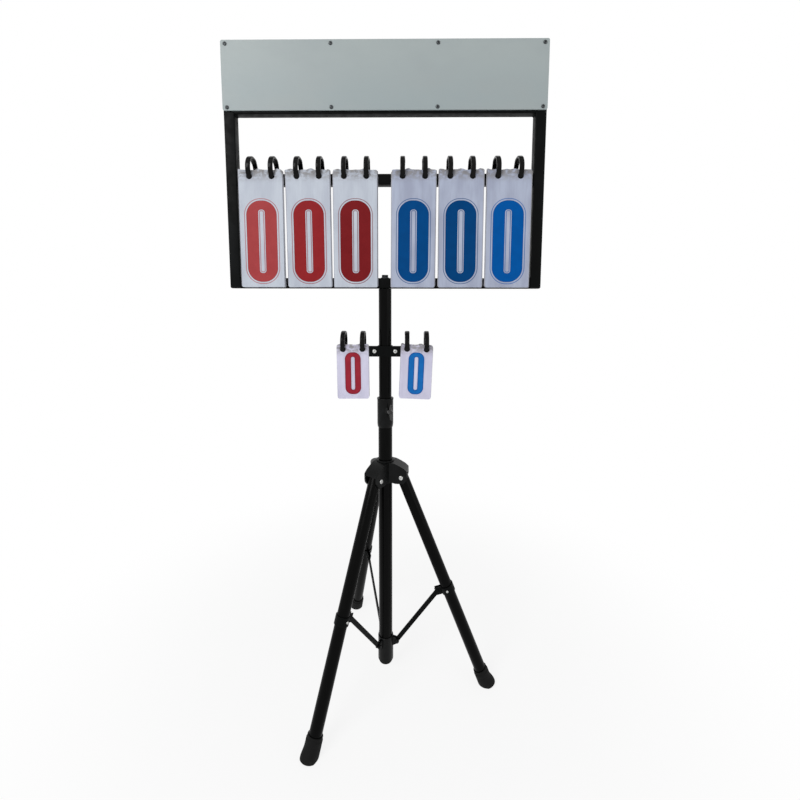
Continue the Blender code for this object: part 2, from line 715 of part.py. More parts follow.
def make_set_pads(parent):
    """Two small set-score pads, on rings in the flat bar."""
    numeral = (SET_NUMERAL_WIDTH, SET_NUMERAL_HEIGHT, SET_NUMERAL_SLOT_WIDTH,
               SET_NUMERAL_SLOT_HEIGHT, SET_NUMERAL_ABOVE_EDGE)
    card = CardSizes(SET_CARD_WIDTH, SET_CARD_HEIGHT, SET_CARD_CORNER, SET_CARD_HOLE_INSET,
                     SET_RING_RADIUS, SET_RING_SPACING, SET_LEAVES_BEHIND,
                     SET_BAR_FRONT - SET_RING_Y, numeral)
    for side, x, look in (("red", -SET_DIGIT_X, card_red()), ("blue", SET_DIGIT_X, card_blue())):
        centre = (x, SET_RING_Y, SET_RING_Z)
        make_rings(f"{side}_set", SET_RING_RADIUS, centre, SET_RING_SPACING, parent)
        pivot = empty(f"{side}_set_flip_axis", parent, centre)
        make_card_stack(f"{side}_set_card_stack", card, pivot)
        make_front_card(f"{side}_set_front_card", card, look, pivot)


# Mast

def make_upper_tube(parent):
    """Upper tube. Its top end is closed by a plug with the hole that takes the board's bolt."""
    bore = BOARD_BOLT_RADIUS + GAP
    inner = MAST_RADIUS - MAST_WALL
    bottom = MAST_TOP - MAST_LENGTH
    plug_end = MAST_TOP - MAST_PLUG_DEPTH
    profile = [(MAST_RADIUS, bottom), (MAST_RADIUS, MAST_TOP), (bore, MAST_TOP), (bore, plug_end),
               (inner, plug_end), (inner, bottom)]
    piece("upper_tube", turned(profile, ROUND_FACETS), gloss_black_steel(), parent)


def make_set_bar(parent):
    """Flat bar across the front of the mast, drilled for four rings, with the two screws and nuts
    that clamp it to the saddle."""
    holes = [circle(RING_HOLE_RADIUS, SMALL_FACETS, (x, SET_BAR_Z))
             for digit in (-SET_DIGIT_X, SET_DIGIT_X) for x in ring_places(digit, SET_RING_SPACING)]
    outline = rounded_box(SET_BAR_LENGTH, SET_BAR_HEIGHT, SET_BAR_CORNER, centre=(0, SET_BAR_Z))
    shape = moved(plate(outline, SET_BAR_THICKNESS, holes), upright_frame())
    bar = piece("set_score_bar", shifted(shape, y=SET_BAR_BACK), black_steel(), parent)
    nut_back = SET_BAR_BACK + 2 * GAP + SADDLE_THICKNESS
    length = nut_back + SET_NUT_HEIGHT + MM - SET_BAR_FRONT
    screws = []
    nuts = []
    for x in (-SET_SCREW_X, SET_SCREW_X):
        shape = screw(SET_SCREW_HEAD, SET_SCREW_HEAD_HEIGHT, SET_SCREW_RADIUS, length)
        screws.append(moved(shape, to_axis((0, -1, 0), (x, SET_BAR_FRONT, SET_BAR_Z))))
        nut = plate(circle(SET_NUT_RADIUS, 6), SET_NUT_HEIGHT)
        nuts.append(moved(nut, to_axis((0, 1, 0), (x, nut_back, SET_BAR_Z))))
    boolean(bar, "UNION", together(*screws), look=bright_zinc())
    boolean(bar, "UNION", together(*nuts), look=bright_zinc())


def make_saddle(parent):
    """Strap bent round the back of the mast, with an ear on each side for the screws."""
    front = SET_BAR_BACK + GAP
    ear_back = front + SADDLE_THICKNESS
    tip = SADDLE_OUTER + SADDLE_EAR
    outline = [(SADDLE_INNER, front), *arc((0, 0), SADDLE_INNER, 0, math.pi, SMALL_FACETS),
               (-SADDLE_INNER, front), (-tip, front), (-tip, ear_back), (-SADDLE_OUTER, ear_back),
               *arc((0, 0), SADDLE_OUTER, math.pi, 0, SMALL_FACETS), (SADDLE_OUTER, ear_back),
               (tip, ear_back), (tip, front)]
    shape = shifted(plate(outline, SADDLE_HEIGHT), z=SET_BAR_Z - SADDLE_HEIGHT / 2)
    saddle = piece("mast_saddle", shape, black_steel(), parent)
    drills = [rod(SET_SCREW_RADIUS + GAP, (x, front - MM, SET_BAR_Z), (x, ear_back + MM, SET_BAR_Z))
              for x in (-SET_SCREW_X, SET_SCREW_X)]
    boolean(saddle, "DIFFERENCE", together(*drills))


# Stand

def azimuth_frame(azimuth, radius=0.0, z=0.0):
    """Frame whose X points outwards at an azimuth, at a radius and height."""
    return Matrix.Rotation(azimuth, 4, "Z") @ Matrix.Translation((radius, 0, z))


def radial_rod(radius, azimuth, inner, outer, z, facets=SMALL_FACETS):
    return moved(rod(radius, (inner, 0, z), (outer, 0, z), facets), azimuth_frame(azimuth))


def make_lower_tube(parent):
    """Lower tube with the rounded cap in its lower end, as one solid, drilled for the knob."""
    bore = TUBE_RADIUS - TUBE_WALL
    low = TUBE_BOTTOM - END_CAP_DOME
    plug_end = TUBE_BOTTOM + END_CAP_DEPTH
    profile = [(0, low), (TUBE_RADIUS * 0.6, low), (TUBE_RADIUS * 0.9, low + END_CAP_DOME * 0.35),
               (TUBE_RADIUS, low + END_CAP_DOME * 0.8), (TUBE_RADIUS, TUBE_TOP), (bore, TUBE_TOP),
               (bore, plug_end), (0, plug_end)]
    tube = piece("lower_tube", turned(profile, ROUND_FACETS), gloss_black_steel(), parent)
    drill = radial_rod(KNOB_SCREW_RADIUS + GAP, KNOB_AZIMUTH, MAST_RADIUS / 2, 2 * TUBE_RADIUS,
                       KNOB_Z)
    boolean(tube, "DIFFERENCE", drill)


def make_height_collar(parent):
    """Collar on the lower tube's top end. Its upper bore guides the mast, and a boss on its side
    takes the wing knob's screw."""
    on_mast = MAST_RADIUS + GAP
    step = TUBE_TOP + GAP
    profile = [(ON_TUBE, COLLAR_BOTTOM), (ON_TUBE + COLLAR_WALL / 2, COLLAR_BOTTOM),
               (COLLAR_RADIUS, COLLAR_BOTTOM + COLLAR_TAPER),
               (COLLAR_RADIUS, COLLAR_TOP - COLLAR_RIM), (COLLAR_RADIUS - COLLAR_RIM, COLLAR_TOP),
               (on_mast, COLLAR_TOP), (on_mast, step), (ON_TUBE, step)]
    collar = piece("height_collar", turned(profile, FINE_FACETS), black_plastic(), parent)
    boss = radial_rod(COLLAR_BOSS_RADIUS, KNOB_AZIMUTH, (ON_TUBE + COLLAR_RADIUS) / 2,
                      COLLAR_BOSS_REACH, KNOB_Z, MEDIUM_FACETS)
    boolean(collar, "UNION", boss)
    drill = radial_rod(KNOB_SCREW_RADIUS + GAP, KNOB_AZIMUTH, MAST_RADIUS / 2,
                       COLLAR_BOSS_REACH + MM, KNOB_Z)
    boolean(collar, "DIFFERENCE", drill)


def make_wing_knob(parent):
    """Clamp screw with two wings. Its local Z is the screw's axis, pointing out of the collar."""
    tip = MAST_RADIUS + GAP
    seat = COLLAR_BOSS_REACH + GAP
    crown = seat + KNOB_BODY_HEIGHT
    profile = [(0, tip), (KNOB_SCREW_RADIUS, tip), (KNOB_SCREW_RADIUS, seat),
               (KNOB_BODY_RADIUS, seat), (KNOB_BODY_RADIUS, crown - MM),
               (KNOB_BODY_RADIUS - MM, crown), (0, crown)]
    axis = empty("wing_knob_axis", parent, (0, 0, KNOB_Z), (0, math.pi / 2, KNOB_AZIMUTH))
    knob = piece("wing_knob", turned(profile, MEDIUM_FACETS), black_plastic(), axis)
    root = seat + KNOB_BODY_HEIGHT / 4
    low = root + KNOB_BODY_HEIGHT / 4
    top = seat + WING_HEIGHT
    half = [(KNOB_BODY_RADIUS / 2, root), (WING_SPAN * 0.8, low), (WING_SPAN, top - 4 * MM),
            (WING_SPAN * 0.85, top), (WING_SPAN * 0.6, top - MM)]
    outline = half + [(0, crown - 2 * MM)] + [(-x, z) for x, z in reversed(half)]
    wings = shifted(moved(plate(outline, WING_THICKNESS), upright_frame()), y=WING_THICKNESS / 2)
    boolean(knob, "UNION", wings)


def hub_arm():
    """Side view of an arm, (radius, height), as wide as the leg and both cheeks. Its back falls
    from the sleeve to the end of the roof, just outside the leg."""
    end = HUB_PIVOT_RADIUS + HUB_REACH
    inside = TUBE_RADIUS * 0.6
    above = HUB_ABOVE_PIVOT
    return [(inside, HUB_BOTTOM + HUB_BELOW_PIVOT / 4), (HUB_SLEEVE_RADIUS + 4 * MM, HUB_BOTTOM),
            (HUB_PIVOT_RADIUS + HUB_REACH * 0.4, HUB_BOTTOM),
            (end - MM, HUB_PIVOT_Z - HUB_BELOW_PIVOT * 0.4), (end, HUB_PIVOT_Z),
            (end, HUB_PIVOT_Z + above * 0.37), (end - MM, HUB_PIVOT_Z + above * 0.42),
            (HUB_PIVOT_RADIUS + HUB_REACH * 0.5, HUB_PIVOT_Z + above * 0.57),
            (HUB_PIVOT_RADIUS - HUB_REACH * 0.2, HUB_PIVOT_Z + above * 0.73),
            (HUB_SLEEVE_RADIUS + 2 * MM, HUB_PIVOT_Z + above * 0.89), (inside, HUB_TOP - 2 * MM)]


def hub_slot():
    """Side view of the space that the leg's end sweeps under the roof, open outwards and down."""
    inner = HUB_SLEEVE_RADIUS + GAP
    below = HUB_BOTTOM - HUB_BELOW_PIVOT
    swept = math.hypot(LEG_RADIUS, LEG_ABOVE_PIVOT) + 3 * GAP
    bend = (HUB_PIVOT_RADIUS + swept * 0.57, HUB_PIVOT_Z + swept * 0.84)
    beyond = 2 * HUB_REACH
    return [(inner, below), (bend[0] + beyond, below), (bend[0] + beyond, bend[1] - beyond), bend,
            (inner, HUB_PIVOT_Z + swept * 1.2)]


def side_plate(outline, half_width, azimuth):
    """A side-view outline made solid to half_width on both sides of an azimuth's plane."""
    shape = shifted(moved(plate(outline, 2 * half_width), upright_frame()), y=half_width)
    return moved(shape, azimuth_frame(azimuth))


def make_hub(parent):
    """Three-arm hub. It slides on the lower tube, and each arm is a roof with two cheeks."""
    sleeve = [(ON_TUBE, HUB_BOTTOM), (HUB_SLEEVE_RADIUS, HUB_BOTTOM),
              (HUB_SLEEVE_RADIUS, HUB_TOP - MM), (HUB_SLEEVE_RADIUS - MM, HUB_TOP),
              (ON_TUBE, HUB_TOP)]
    hub = piece("hub", turned(sleeve, ROUND_FACETS), black_plastic(), parent)
    for azimuth in LEG_AZIMUTHS:
        boolean(hub, "UNION", side_plate(hub_arm(), HUB_HALF_WIDTH, azimuth))
    slots = [side_plate(hub_slot(), HUB_SLOT_HALF, azimuth) for azimuth in LEG_AZIMUTHS]
    boolean(hub, "DIFFERENCE", together(*slots))
    boolean(hub, "DIFFERENCE", rod(ON_TUBE, (0, 0, HUB_BOTTOM - MM), (0, 0, HUB_TOP + MM),
                                   ROUND_FACETS))
    boolean(hub, "UNION", together(*hub_pivot_screws()), look=bright_zinc())


def hub_pivot_screws():
    """The three screws that the legs turn on, held in the cheeks as one solid with the hub."""
    across = to_axis((0, 1, 0), (HUB_PIVOT_RADIUS, 0, HUB_PIVOT_Z))
    return [moved(barrel_pin(PIVOT_SCREW_RADIUS, PIVOT_SCREW_HEAD, PIVOT_SCREW_HEAD_HEIGHT,
                             HUB_HALF_WIDTH - GAP), azimuth_frame(azimuth) @ across)
            for azimuth in LEG_AZIMUTHS]


# Legs

def make_leg(name, pivot):
    """Leg tube in the pivot's frame: the pivot is the origin and the tube runs down local Z."""
    bottom = -LEG_LENGTH + FOOT_SOLE + GAP
    shape = hollow(LEG_RADIUS, LEG_WALL, bottom, LEG_ABOVE_PIVOT, ROUND_FACETS)
    leg = piece(name, shape, gloss_black_steel(), pivot)
    drill = rod(PIVOT_SCREW_RADIUS + GAP, (0, -2 * LEG_RADIUS, 0), (0, 2 * LEG_RADIUS, 0))
    boolean(leg, "DIFFERENCE", drill)


def make_foot(name, pivot, root):
    """Rubber boot on the leg's end: a cuff, a step below it, and a body that flares outwards near
    the floor, where it is cut flat."""
    bore = LEG_RADIUS + GAP
    cuff = bore + FOOT_WALL
    body = cuff + FOOT_STEP
    bottom = -LEG_LENGTH
    top = bottom + FOOT_HEIGHT
    under_cuff = top - FOOT_CUFF
    below = bottom - LEG_RADIUS
    profile = [(0, below), (body, below), (body, bottom + FOOT_BULGE_HEIGHT / 3),
               (body, bottom + FOOT_BULGE_HEIGHT * 2 / 3), (body, bottom + FOOT_BULGE_HEIGHT),
               (body, under_cuff - FOOT_STEP), (cuff, under_cuff), (cuff, top - MM),
               (cuff - MM, top), (bore, top), (bore, bottom + FOOT_SOLE), (0, bottom + FOOT_SOLE)]
    shape = turned(profile, ROUND_FACETS)
    for vertex in shape.verts:
        low = min(1.0, max(0.0, 1 - (vertex.co.z - bottom) / FOOT_BULGE_HEIGHT))
        outer_side = vertex.co.x > 0 and math.hypot(vertex.co.x, vertex.co.y) > cuff
        if outer_side:
            vertex.co.x += FOOT_BULGE * low * vertex.co.x / body
    foot = piece(name, shape, black_rubber(), pivot)
    side = 4 * FOOT_CIRCLE_RADIUS
    depth = 4 * LEG_RADIUS
    ground = plate(rounded_box(side, side, MM, steps=1), depth)
    boolean(foot, "DIFFERENCE", shifted(ground, z=-depth), root)


def make_clip(name, pivot):
    """Strap round the leg whose two ears take the brace's upper end between them, on its bolt."""
    inner = LEG_RADIUS + GAP
    outer = inner + CLIP_STRAP
    tip = -(CLIP_PIVOT_OFFSET + CLIP_EAR_TIP)
    inner_angle = math.pi - math.asin(CLIP_EAR_INNER / inner)
    outer_angle = math.pi - math.asin(CLIP_EAR_OUTER / outer)
    outline = [(tip, CLIP_EAR_INNER), *arc((0, 0), inner, inner_angle, -inner_angle, MEDIUM_FACETS),
               (tip, -CLIP_EAR_INNER), (tip, -CLIP_EAR_OUTER),
               *arc((0, 0), outer, -outer_angle, outer_angle, MEDIUM_FACETS), (tip, CLIP_EAR_OUTER)]
    shape = shifted(plate(outline, CLIP_HEIGHT), z=CLIP_Z - CLIP_HEIGHT / 2)
    clip = piece(name, shape, black_steel(), pivot)
    bolt = barrel_pin(BRACE_PIN_RADIUS, BRACE_PIN_HEAD, BRACE_PIN_HEAD_HEIGHT,
                      CLIP_EAR_OUTER - BITE, TINY_FACETS)
    across = to_axis((0, 1, 0), (-CLIP_PIVOT_OFFSET, 0, CLIP_Z))
    boolean(clip, "UNION", moved(bolt, across), look=bright_zinc())


def make_brace(name, axis):
    """Flat brace in its upper pivot's frame: it runs down local Z and swings in the XZ plane."""
    radius = BRACE_WIDTH / 2
    outline = arc((0, 0), radius, 0, math.pi, 6)
    outline += arc((0, -BRACE_LENGTH), radius, math.pi, math.tau, 6)
    hole = BRACE_PIN_RADIUS + GAP
    holes = [circle(hole, TINY_FACETS), circle(hole, TINY_FACETS, (0, -BRACE_LENGTH))]
    shape = moved(plate(outline, BRACE_THICKNESS, holes), upright_frame())
    piece(name, shifted(shape, y=BRACE_THICKNESS / 2), black_steel(), axis)


def make_lower_collar(parent):
    """Collar fixed near the tube's foot, with a pair of lugs for each brace. Each lug carries half
    of the brace's pin, so that the space between two lugs stays free."""
    inside = LOWER_COLLAR_RADIUS - LOWER_COLLAR_WALL / 2
    profile = [(ON_TUBE, LOWER_COLLAR_BOTTOM), (inside, LOWER_COLLAR_BOTTOM),
               (LOWER_COLLAR_RADIUS, LOWER_COLLAR_BOTTOM + MM),
               (LOWER_COLLAR_RADIUS, LOWER_COLLAR_TOP - MM), (inside, LOWER_COLLAR_TOP),
               (ON_TUBE, LOWER_COLLAR_TOP)]
    collar = piece("lower_collar", turned(profile, ROUND_FACETS), black_plastic(), parent)
    root = (ON_TUBE + LOWER_COLLAR_RADIUS) / 2
    lug_centre = (LOWER_PIVOT_RADIUS, LOWER_PIVOT.y)
    outline = [(root, LOWER_PIVOT.y + 1.4 * LUG_RADIUS), (root, LOWER_PIVOT.y - 1.8 * LUG_RADIUS)]
    outline += arc(lug_centre, LUG_RADIUS, -math.pi / 2, math.pi / 2, 6)
    inner = BRACE_THICKNESS / 2 + GAP
    outer = inner + LUG_THICKNESS
    lugs = []
    heads = []
    for azimuth in LEG_AZIMUTHS:
        for side in (-1, 1):
            near_side = outer if side > 0 else -inner
            lug = shifted(moved(plate(outline, LUG_THICKNESS), upright_frame()), y=near_side)
            lugs.append(moved(lug, azimuth_frame(azimuth)))
            head = screw(BRACE_PIN_HEAD, BRACE_PIN_HEAD_HEIGHT, BRACE_PIN_RADIUS, LUG_THICKNESS / 2)
            seat = to_axis((0, side, 0), (LOWER_PIVOT_RADIUS, side * outer, LOWER_PIVOT.y))
            heads.append(moved(head, azimuth_frame(azimuth) @ seat))
    boolean(collar, "UNION", together(*lugs))
    boolean(collar, "UNION", together(*heads), look=bright_zinc())


def make_legs(root, hub_axis):
    for name, azimuth in zip(LEG_NAMES, LEG_AZIMUTHS):
        outward = (math.cos(azimuth), math.sin(azimuth))
        place = (HUB_PIVOT_RADIUS * outward[0], HUB_PIVOT_RADIUS * outward[1], HUB_PIVOT_Z)
        pivot = empty(f"{name}_pivot", hub_axis, place, (0, -LEG_TILT, azimuth))
        make_leg(name, pivot)
        make_foot(f"{name}_foot", pivot, root)
        make_clip(f"{name}_clip", pivot)
        axis = empty(f"{name}_brace_pivot", pivot, (-CLIP_PIVOT_OFFSET, 0, CLIP_Z),
                     (0, LEG_TILT + BRACE_TILT, 0))
        make_brace(f"{name}_brace", axis)


def centre_over_feet(root):
    """Moves the whole model so that the middle of its box, seen from above, is the origin."""
    bpy.context.view_layer.update()
    graph = bpy.context.evaluated_depsgraph_get()
    corners = []
    for obj in bpy.data.objects:
        if obj.type == "MESH" and not obj.hide_render:
            shape = obj.evaluated_get(graph)
            corners += [shape.matrix_world @ vertex.co for vertex in shape.data.vertices]
    for axis in (0, 1):
        values = [corner[axis] for corner in corners]
        root.location[axis] -= (min(values) + max(values)) / 2


def main():
    clear_scene()
    root = empty("scoreboard", None)
    mast_axis = empty("mast_axis", root)
    board_axis = empty("board_axis", mast_axis)
    hub_axis = empty("hub_axis", root)
    make_uprights(board_axis)
    make_rails(board_axis)
    make_header_panel(board_axis)
    make_board_bolt(board_axis)
    make_score_pads(board_axis)
    make_upper_tube(mast_axis)
    make_set_bar(mast_axis)
    make_saddle(mast_axis)
    make_set_pads(mast_axis)
    make_lower_tube(root)
    make_height_collar(root)
    make_wing_knob(root)
    make_lower_collar(root)
    make_hub(hub_axis)
    make_legs(root, hub_axis)
    centre_over_feet(root)


main()
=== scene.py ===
# %% [markdown]
# # A flip scoreboard on a folding stand
# The board is a welded frame of square steel tube. Six pads of plastic cards hang on rings from a
# drilled bar, two smaller pads hang on a flat bar below, and a telescopic mast on three folding
# legs carries it all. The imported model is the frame: each new piece takes its place from it.
# Shapes are worked out in millimetres as whole arrays, and become metres in the mesh.

# %% Load the frame and measure it
import json
import math

import bmesh
import bpy
import numpy as np
from mathutils import Matrix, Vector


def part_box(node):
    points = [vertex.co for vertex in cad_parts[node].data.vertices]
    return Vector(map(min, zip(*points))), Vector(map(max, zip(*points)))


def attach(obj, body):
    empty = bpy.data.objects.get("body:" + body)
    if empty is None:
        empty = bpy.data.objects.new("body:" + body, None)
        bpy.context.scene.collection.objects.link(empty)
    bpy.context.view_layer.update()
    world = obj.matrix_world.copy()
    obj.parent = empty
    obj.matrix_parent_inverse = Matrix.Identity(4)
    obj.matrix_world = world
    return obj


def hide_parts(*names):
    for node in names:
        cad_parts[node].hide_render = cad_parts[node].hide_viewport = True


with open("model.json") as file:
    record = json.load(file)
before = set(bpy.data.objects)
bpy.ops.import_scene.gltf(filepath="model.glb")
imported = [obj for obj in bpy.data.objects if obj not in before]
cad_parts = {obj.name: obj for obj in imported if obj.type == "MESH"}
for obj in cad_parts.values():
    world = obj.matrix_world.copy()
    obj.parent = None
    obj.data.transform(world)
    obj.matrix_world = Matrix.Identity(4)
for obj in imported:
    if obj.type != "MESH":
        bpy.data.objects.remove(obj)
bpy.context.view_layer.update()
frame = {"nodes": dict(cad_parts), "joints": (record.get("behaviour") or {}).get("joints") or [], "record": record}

MM = 0.001
RECORD = frame["record"]
BODY_OF = {node: body for body, nodes in RECORD["behaviour"]["bodies"].items() for node in nodes}
JOINTS = {joint["name"]: joint for joint in frame["joints"]}
MOUNTS = {mount["name"]: mount for mount in RECORD["mounts"]}


def corners(node):
    """The lowest and the highest corner of a node, in millimetres."""
    low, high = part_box(node)
    return np.array(low) / MM, np.array(high) / MM


def middle(node):
    """The centre of a node's box, in millimetres."""
    return sum(corners(node)) / 2


def stated_place(table, name):
    """The place that the record states for a joint or a mount, in millimetres."""
    return np.array(table[name]["pos_m"]) / MM


AXIS = middle("upper_tube") * (1, 1, 0)

# %% [markdown]
# ## From hex colours to linear light
# A colour picker gives sRGB values, but a shader reckons in linear light, so one function turns
# the written hex value into what the socket wants.

# %% The colour function


def colour(text):
    """Red, green, blue and alpha in linear light: each sRGB value is freed of its gamma curve."""
    values = np.array([int(text[i:i + 2], 16) for i in (1, 3, 5)]) / 255
    linear = np.where(values <= 0.04045, values / 12.92, ((values + 0.055) / 1.055) ** 2.4)
    return (*linear.tolist(), 1.0)


print("mid grey in linear light is", round(colour("#808080")[0], 3))

# %% [markdown]
# ## Nodes
# Every finish is a small network of nodes. A helper for each kind of node would be a second
# language to learn, so one function adds any kind. It takes the inputs in the order in which the
# node shows them, or by name. A Mix node is told that it mixes colours, and a Map Range node, which
# takes a value from one range to another, that the ends of its curve are soft.

# %% The function that adds a node
OF_COLOURS = {"data_type": "RGBA"}
SOFT_ENDS = {"interpolation_type": "SMOOTHSTEP"}


def add(tree, kind, inputs=(), output=None, to=None, **settings):
    """Adds one node with its settings. Each input is a number, a colour or another node's output.
    Gives back the node's named or first live output, linked to a socket if one is given."""
    made = tree.nodes.new(kind)
    for name, value in settings.items():
        setattr(made, name, value)
    sockets = [socket for socket in made.inputs if socket.enabled]
    if isinstance(inputs, dict):
        sockets = [made.inputs[name] for name in inputs]
        inputs = inputs.values()
    for socket, value in zip(sockets, inputs):
        if isinstance(value, bpy.types.NodeSocket):
            tree.links.new(value, socket)
        else:
            socket.default_value = value
    live = [socket for socket in made.outputs if socket.enabled]
    result = made.outputs[output] if output else (live[0] if live else None)
    if to is not None:
        tree.links.new(result, to)
    return result


# %% The start of a finish, and noise at a real size


def new_finish(name, base, roughness, specular, metallic=0.0):
    """A material with one Principled shader. What is the same all over is set on its sockets."""
    material = bpy.data.materials.new(name)
    material.use_nodes = True
    sockets = material.node_tree.nodes["Principled BSDF"].inputs
    sockets["Base Color"].default_value = colour(base)
    sockets["Roughness"].default_value = roughness
    sockets["Specular IOR Level"].default_value = specular
    sockets["Metallic"].default_value = metallic
    return material, material.node_tree, sockets


def speckle(tree, size, stretch=(1, 1, 1), detail=2.0):
    """Noise whose grains are about the given size in millimetres, longer along a stretched axis."""
    place = add(tree, "ShaderNodeTexCoord", output="Object")
    scale = [1 / (size * MM * longer) for longer in stretch]
    mapped = add(tree, "ShaderNodeMapping", {"Vector": place, "Scale": scale})
    return add(tree, "ShaderNodeTexNoise", {"Vector": mapped, "Scale": 1.0, "Detail": detail})


print("grains of 5 mm take a noise scale of", round(1 / (5 * MM)), "per metre")

# %% [markdown]
# ## Powder coat on the frame
# The frame is mild steel tube under a semi-matt black powder coat. The powder melts into a skin
# with a fine orange peel, here 1.4 mm from crest to crest, and handling leaves faint greyish dust
# in patches a few centimetres wide. A plain dielectric with a low gloss gives that depth.

# %% Powder-coated steel
DUST_PATCH = 45.0
SHEEN_PATCH = 12.0
ORANGE_PEEL = 1.4
PEEL_DEPTH = 0.05


def powder_coated_steel():
    """Semi-matt black with an orange peel and a faint film of dust."""
    material, tree, sockets = new_finish("powder_coated_steel", "#040505", 0.42, 0.06)
    dust = speckle(tree, DUST_PATCH, (1, 1, 2), 4.0)
    blend_ramp = add(tree, "ShaderNodeMapRange", (dust, 0.42, 0.75), **SOFT_ENDS)
    add(tree, "ShaderNodeMix", (blend_ramp, colour("#040505"), colour("#0d0f10")),
        to=sockets["Base Color"], **OF_COLOURS)
    sheen = speckle(tree, SHEEN_PATCH, detail=3.0)
    add(tree, "ShaderNodeMapRange", (sheen, 0.3, 0.7, 0.36, 0.52), to=sockets["Roughness"],
        **SOFT_ENDS)
    peel = speckle(tree, ORANGE_PEEL, detail=1.0)
    add(tree, "ShaderNodeBump", {"Height": peel, "Distance": PEEL_DEPTH * MM, "Strength": 0.5},
        to=sockets["Normal"])
    return material


POWDER = powder_coated_steel()
print("made", POWDER.name)

# %% [markdown]
# ## Gloss paint on the round tubes
# The mast and legs slide in and out, so their smooth black paint shows hair-fine rubbing marks
# along the tube. Noise drawn out thirty times along Z gives the marks, about 0.8 mm wide. A second
# noise, 2.2 mm wide, is the faint run of the paint itself.

# %% Gloss black paint
RUB_WIDTH = 0.8
RUN_WIDTH = 2.2
RUN_DEPTH = 0.03
GLOSS_PATCH = 20.0


def gloss_black_paint():
    """Smooth black paint with faint marks along the tube."""
    material, tree, sockets = new_finish("gloss_black_paint", "#040404", 0.22, 0.06)
    marks = speckle(tree, RUB_WIDTH, (1, 1, 30), 3.0)
    rubbed = add(tree, "ShaderNodeMapRange", (marks, 0.45, 0.75), **SOFT_ENDS)
    add(tree, "ShaderNodeMix", (rubbed, colour("#020202"), colour("#070707")),
        to=sockets["Base Color"], **OF_COLOURS)
    gloss = speckle(tree, GLOSS_PATCH, (1, 1, 3), 3.0)
    add(tree, "ShaderNodeMapRange", (gloss, 0.3, 0.7, 0.16, 0.3), to=sockets["Roughness"],
        **SOFT_ENDS)
    runs = speckle(tree, RUN_WIDTH, (1, 1, 8))
    add(tree, "ShaderNodeBump", {"Height": runs, "Distance": RUN_DEPTH * MM, "Strength": 0.35},
        to=sockets["Normal"])
    return material


GLOSS = gloss_black_paint()
print("made", GLOSS.name)

# %% [markdown]
# ## Satin grey sheet
# The blank header is a grey sheet with a satin skin. Its colour is painted a little paler at the top
# than at the foot, as painted light from above, and a fine grain, drawn out along the sheet as it
# was rolled, breaks the sheen. The true grain would be too fine to show, so it is drawn at 0.7 mm.

# %% Satin sheet
CLOUD = 60.0
ROLLED_GRAIN = 0.7
GRAIN_DEPTH = 0.02


def satin_grey_sheet(low, high):
    """Grey painted a little paler from the foot to the top edge as painted light, with a fine rolled grain."""
    material, tree, sockets = new_finish("satin_grey_sheet", "#a6abab", 0.42, 0.3)
    place = add(tree, "ShaderNodeTexCoord", output="Object")
    height = add(tree, "ShaderNodeSeparateXYZ", (place,), output="Z")
    # painted light: the base colour is mixed paler towards the top edge, as if lit from above
    painted_top_light = add(tree, "ShaderNodeMapRange", (height, low * MM, high * MM), **SOFT_ENDS)
    base = add(tree, "ShaderNodeMix", (painted_top_light, colour("#9ea9ab"), colour("#a6afaf")), **OF_COLOURS)
    cloud = speckle(tree, CLOUD, (2, 1, 1), 3.0)
    cloud = add(tree, "ShaderNodeMapRange", (cloud, 0.4, 0.7), **SOFT_ENDS)
    add(tree, "ShaderNodeMix", (cloud, base, colour("#a1aaab")), to=sockets["Base Color"],
        **OF_COLOURS)
    grain = speckle(tree, ROLLED_GRAIN, (14, 1, 1), 2.0)
    add(tree, "ShaderNodeMapRange", (grain, 0.3, 0.7, 0.36, 0.5), to=sockets["Roughness"],
        **SOFT_ENDS)
    add(tree, "ShaderNodeBump", {"Height": grain, "Distance": GRAIN_DEPTH * MM, "Strength": 0.4},
        to=sockets["Normal"])
    return material


HEADER_LOW, HEADER_HIGH = corners("header_panel")
HEADER = satin_grey_sheet(HEADER_LOW[2], HEADER_HIGH[2])
print("made", HEADER.name)

# %% [markdown]
# ## Polished and grained plastics
# The rings are shiny black plastic, and the wing knob is a nylon with more shine. The hub and
# collars are moulded with a spark-eroded grain, which dulls them. Real grain is about half as
# coarse as the 0.6 mm at which it is drawn here, so that it shows.

# %% Black plastics
WARM_PATCH = 9.0
SINK_MARK = 5.0
SINK_DEPTH = 0.06
HANDLING_PATCH = 14.0
ERODED_GRAIN = 0.6
ERODED_DEPTH = 0.05


def shiny_black_plastic(name, specular):
    """Polished black plastic: a clear reflection, with slight sink marks."""
    material, tree, sockets = new_finish(name, "#060505", 0.2, specular)
    warm = speckle(tree, WARM_PATCH, detail=2.0)
    warm = add(tree, "ShaderNodeMapRange", (warm, 0.4, 0.7), **SOFT_ENDS)
    add(tree, "ShaderNodeMix", (warm, colour("#020202"), colour("#0a0807")),
        to=sockets["Base Color"], **OF_COLOURS)
    sinks = speckle(tree, SINK_MARK)
    add(tree, "ShaderNodeBump", {"Height": sinks, "Distance": SINK_DEPTH * MM, "Strength": 0.4},
        to=sockets["Normal"])
    return material


def grained_black_nylon():
    """Moulded nylon: even black, broken by a fine eroded grain that dulls it."""
    material, tree, sockets = new_finish("grained_black_nylon", "#0a0b0b", 0.34, 0.12)
    dust = speckle(tree, HANDLING_PATCH, detail=4.0)
    dust = add(tree, "ShaderNodeMapRange", (dust, 0.45, 0.75), **SOFT_ENDS)
    add(tree, "ShaderNodeMix", (dust, colour("#060707"), colour("#101112")),
        to=sockets["Base Color"], **OF_COLOURS)
    grain = speckle(tree, ERODED_GRAIN, detail=3.0)
    add(tree, "ShaderNodeBump", {"Height": grain, "Distance": ERODED_DEPTH * MM, "Strength": 0.6},
        to=sockets["Normal"])
    return material


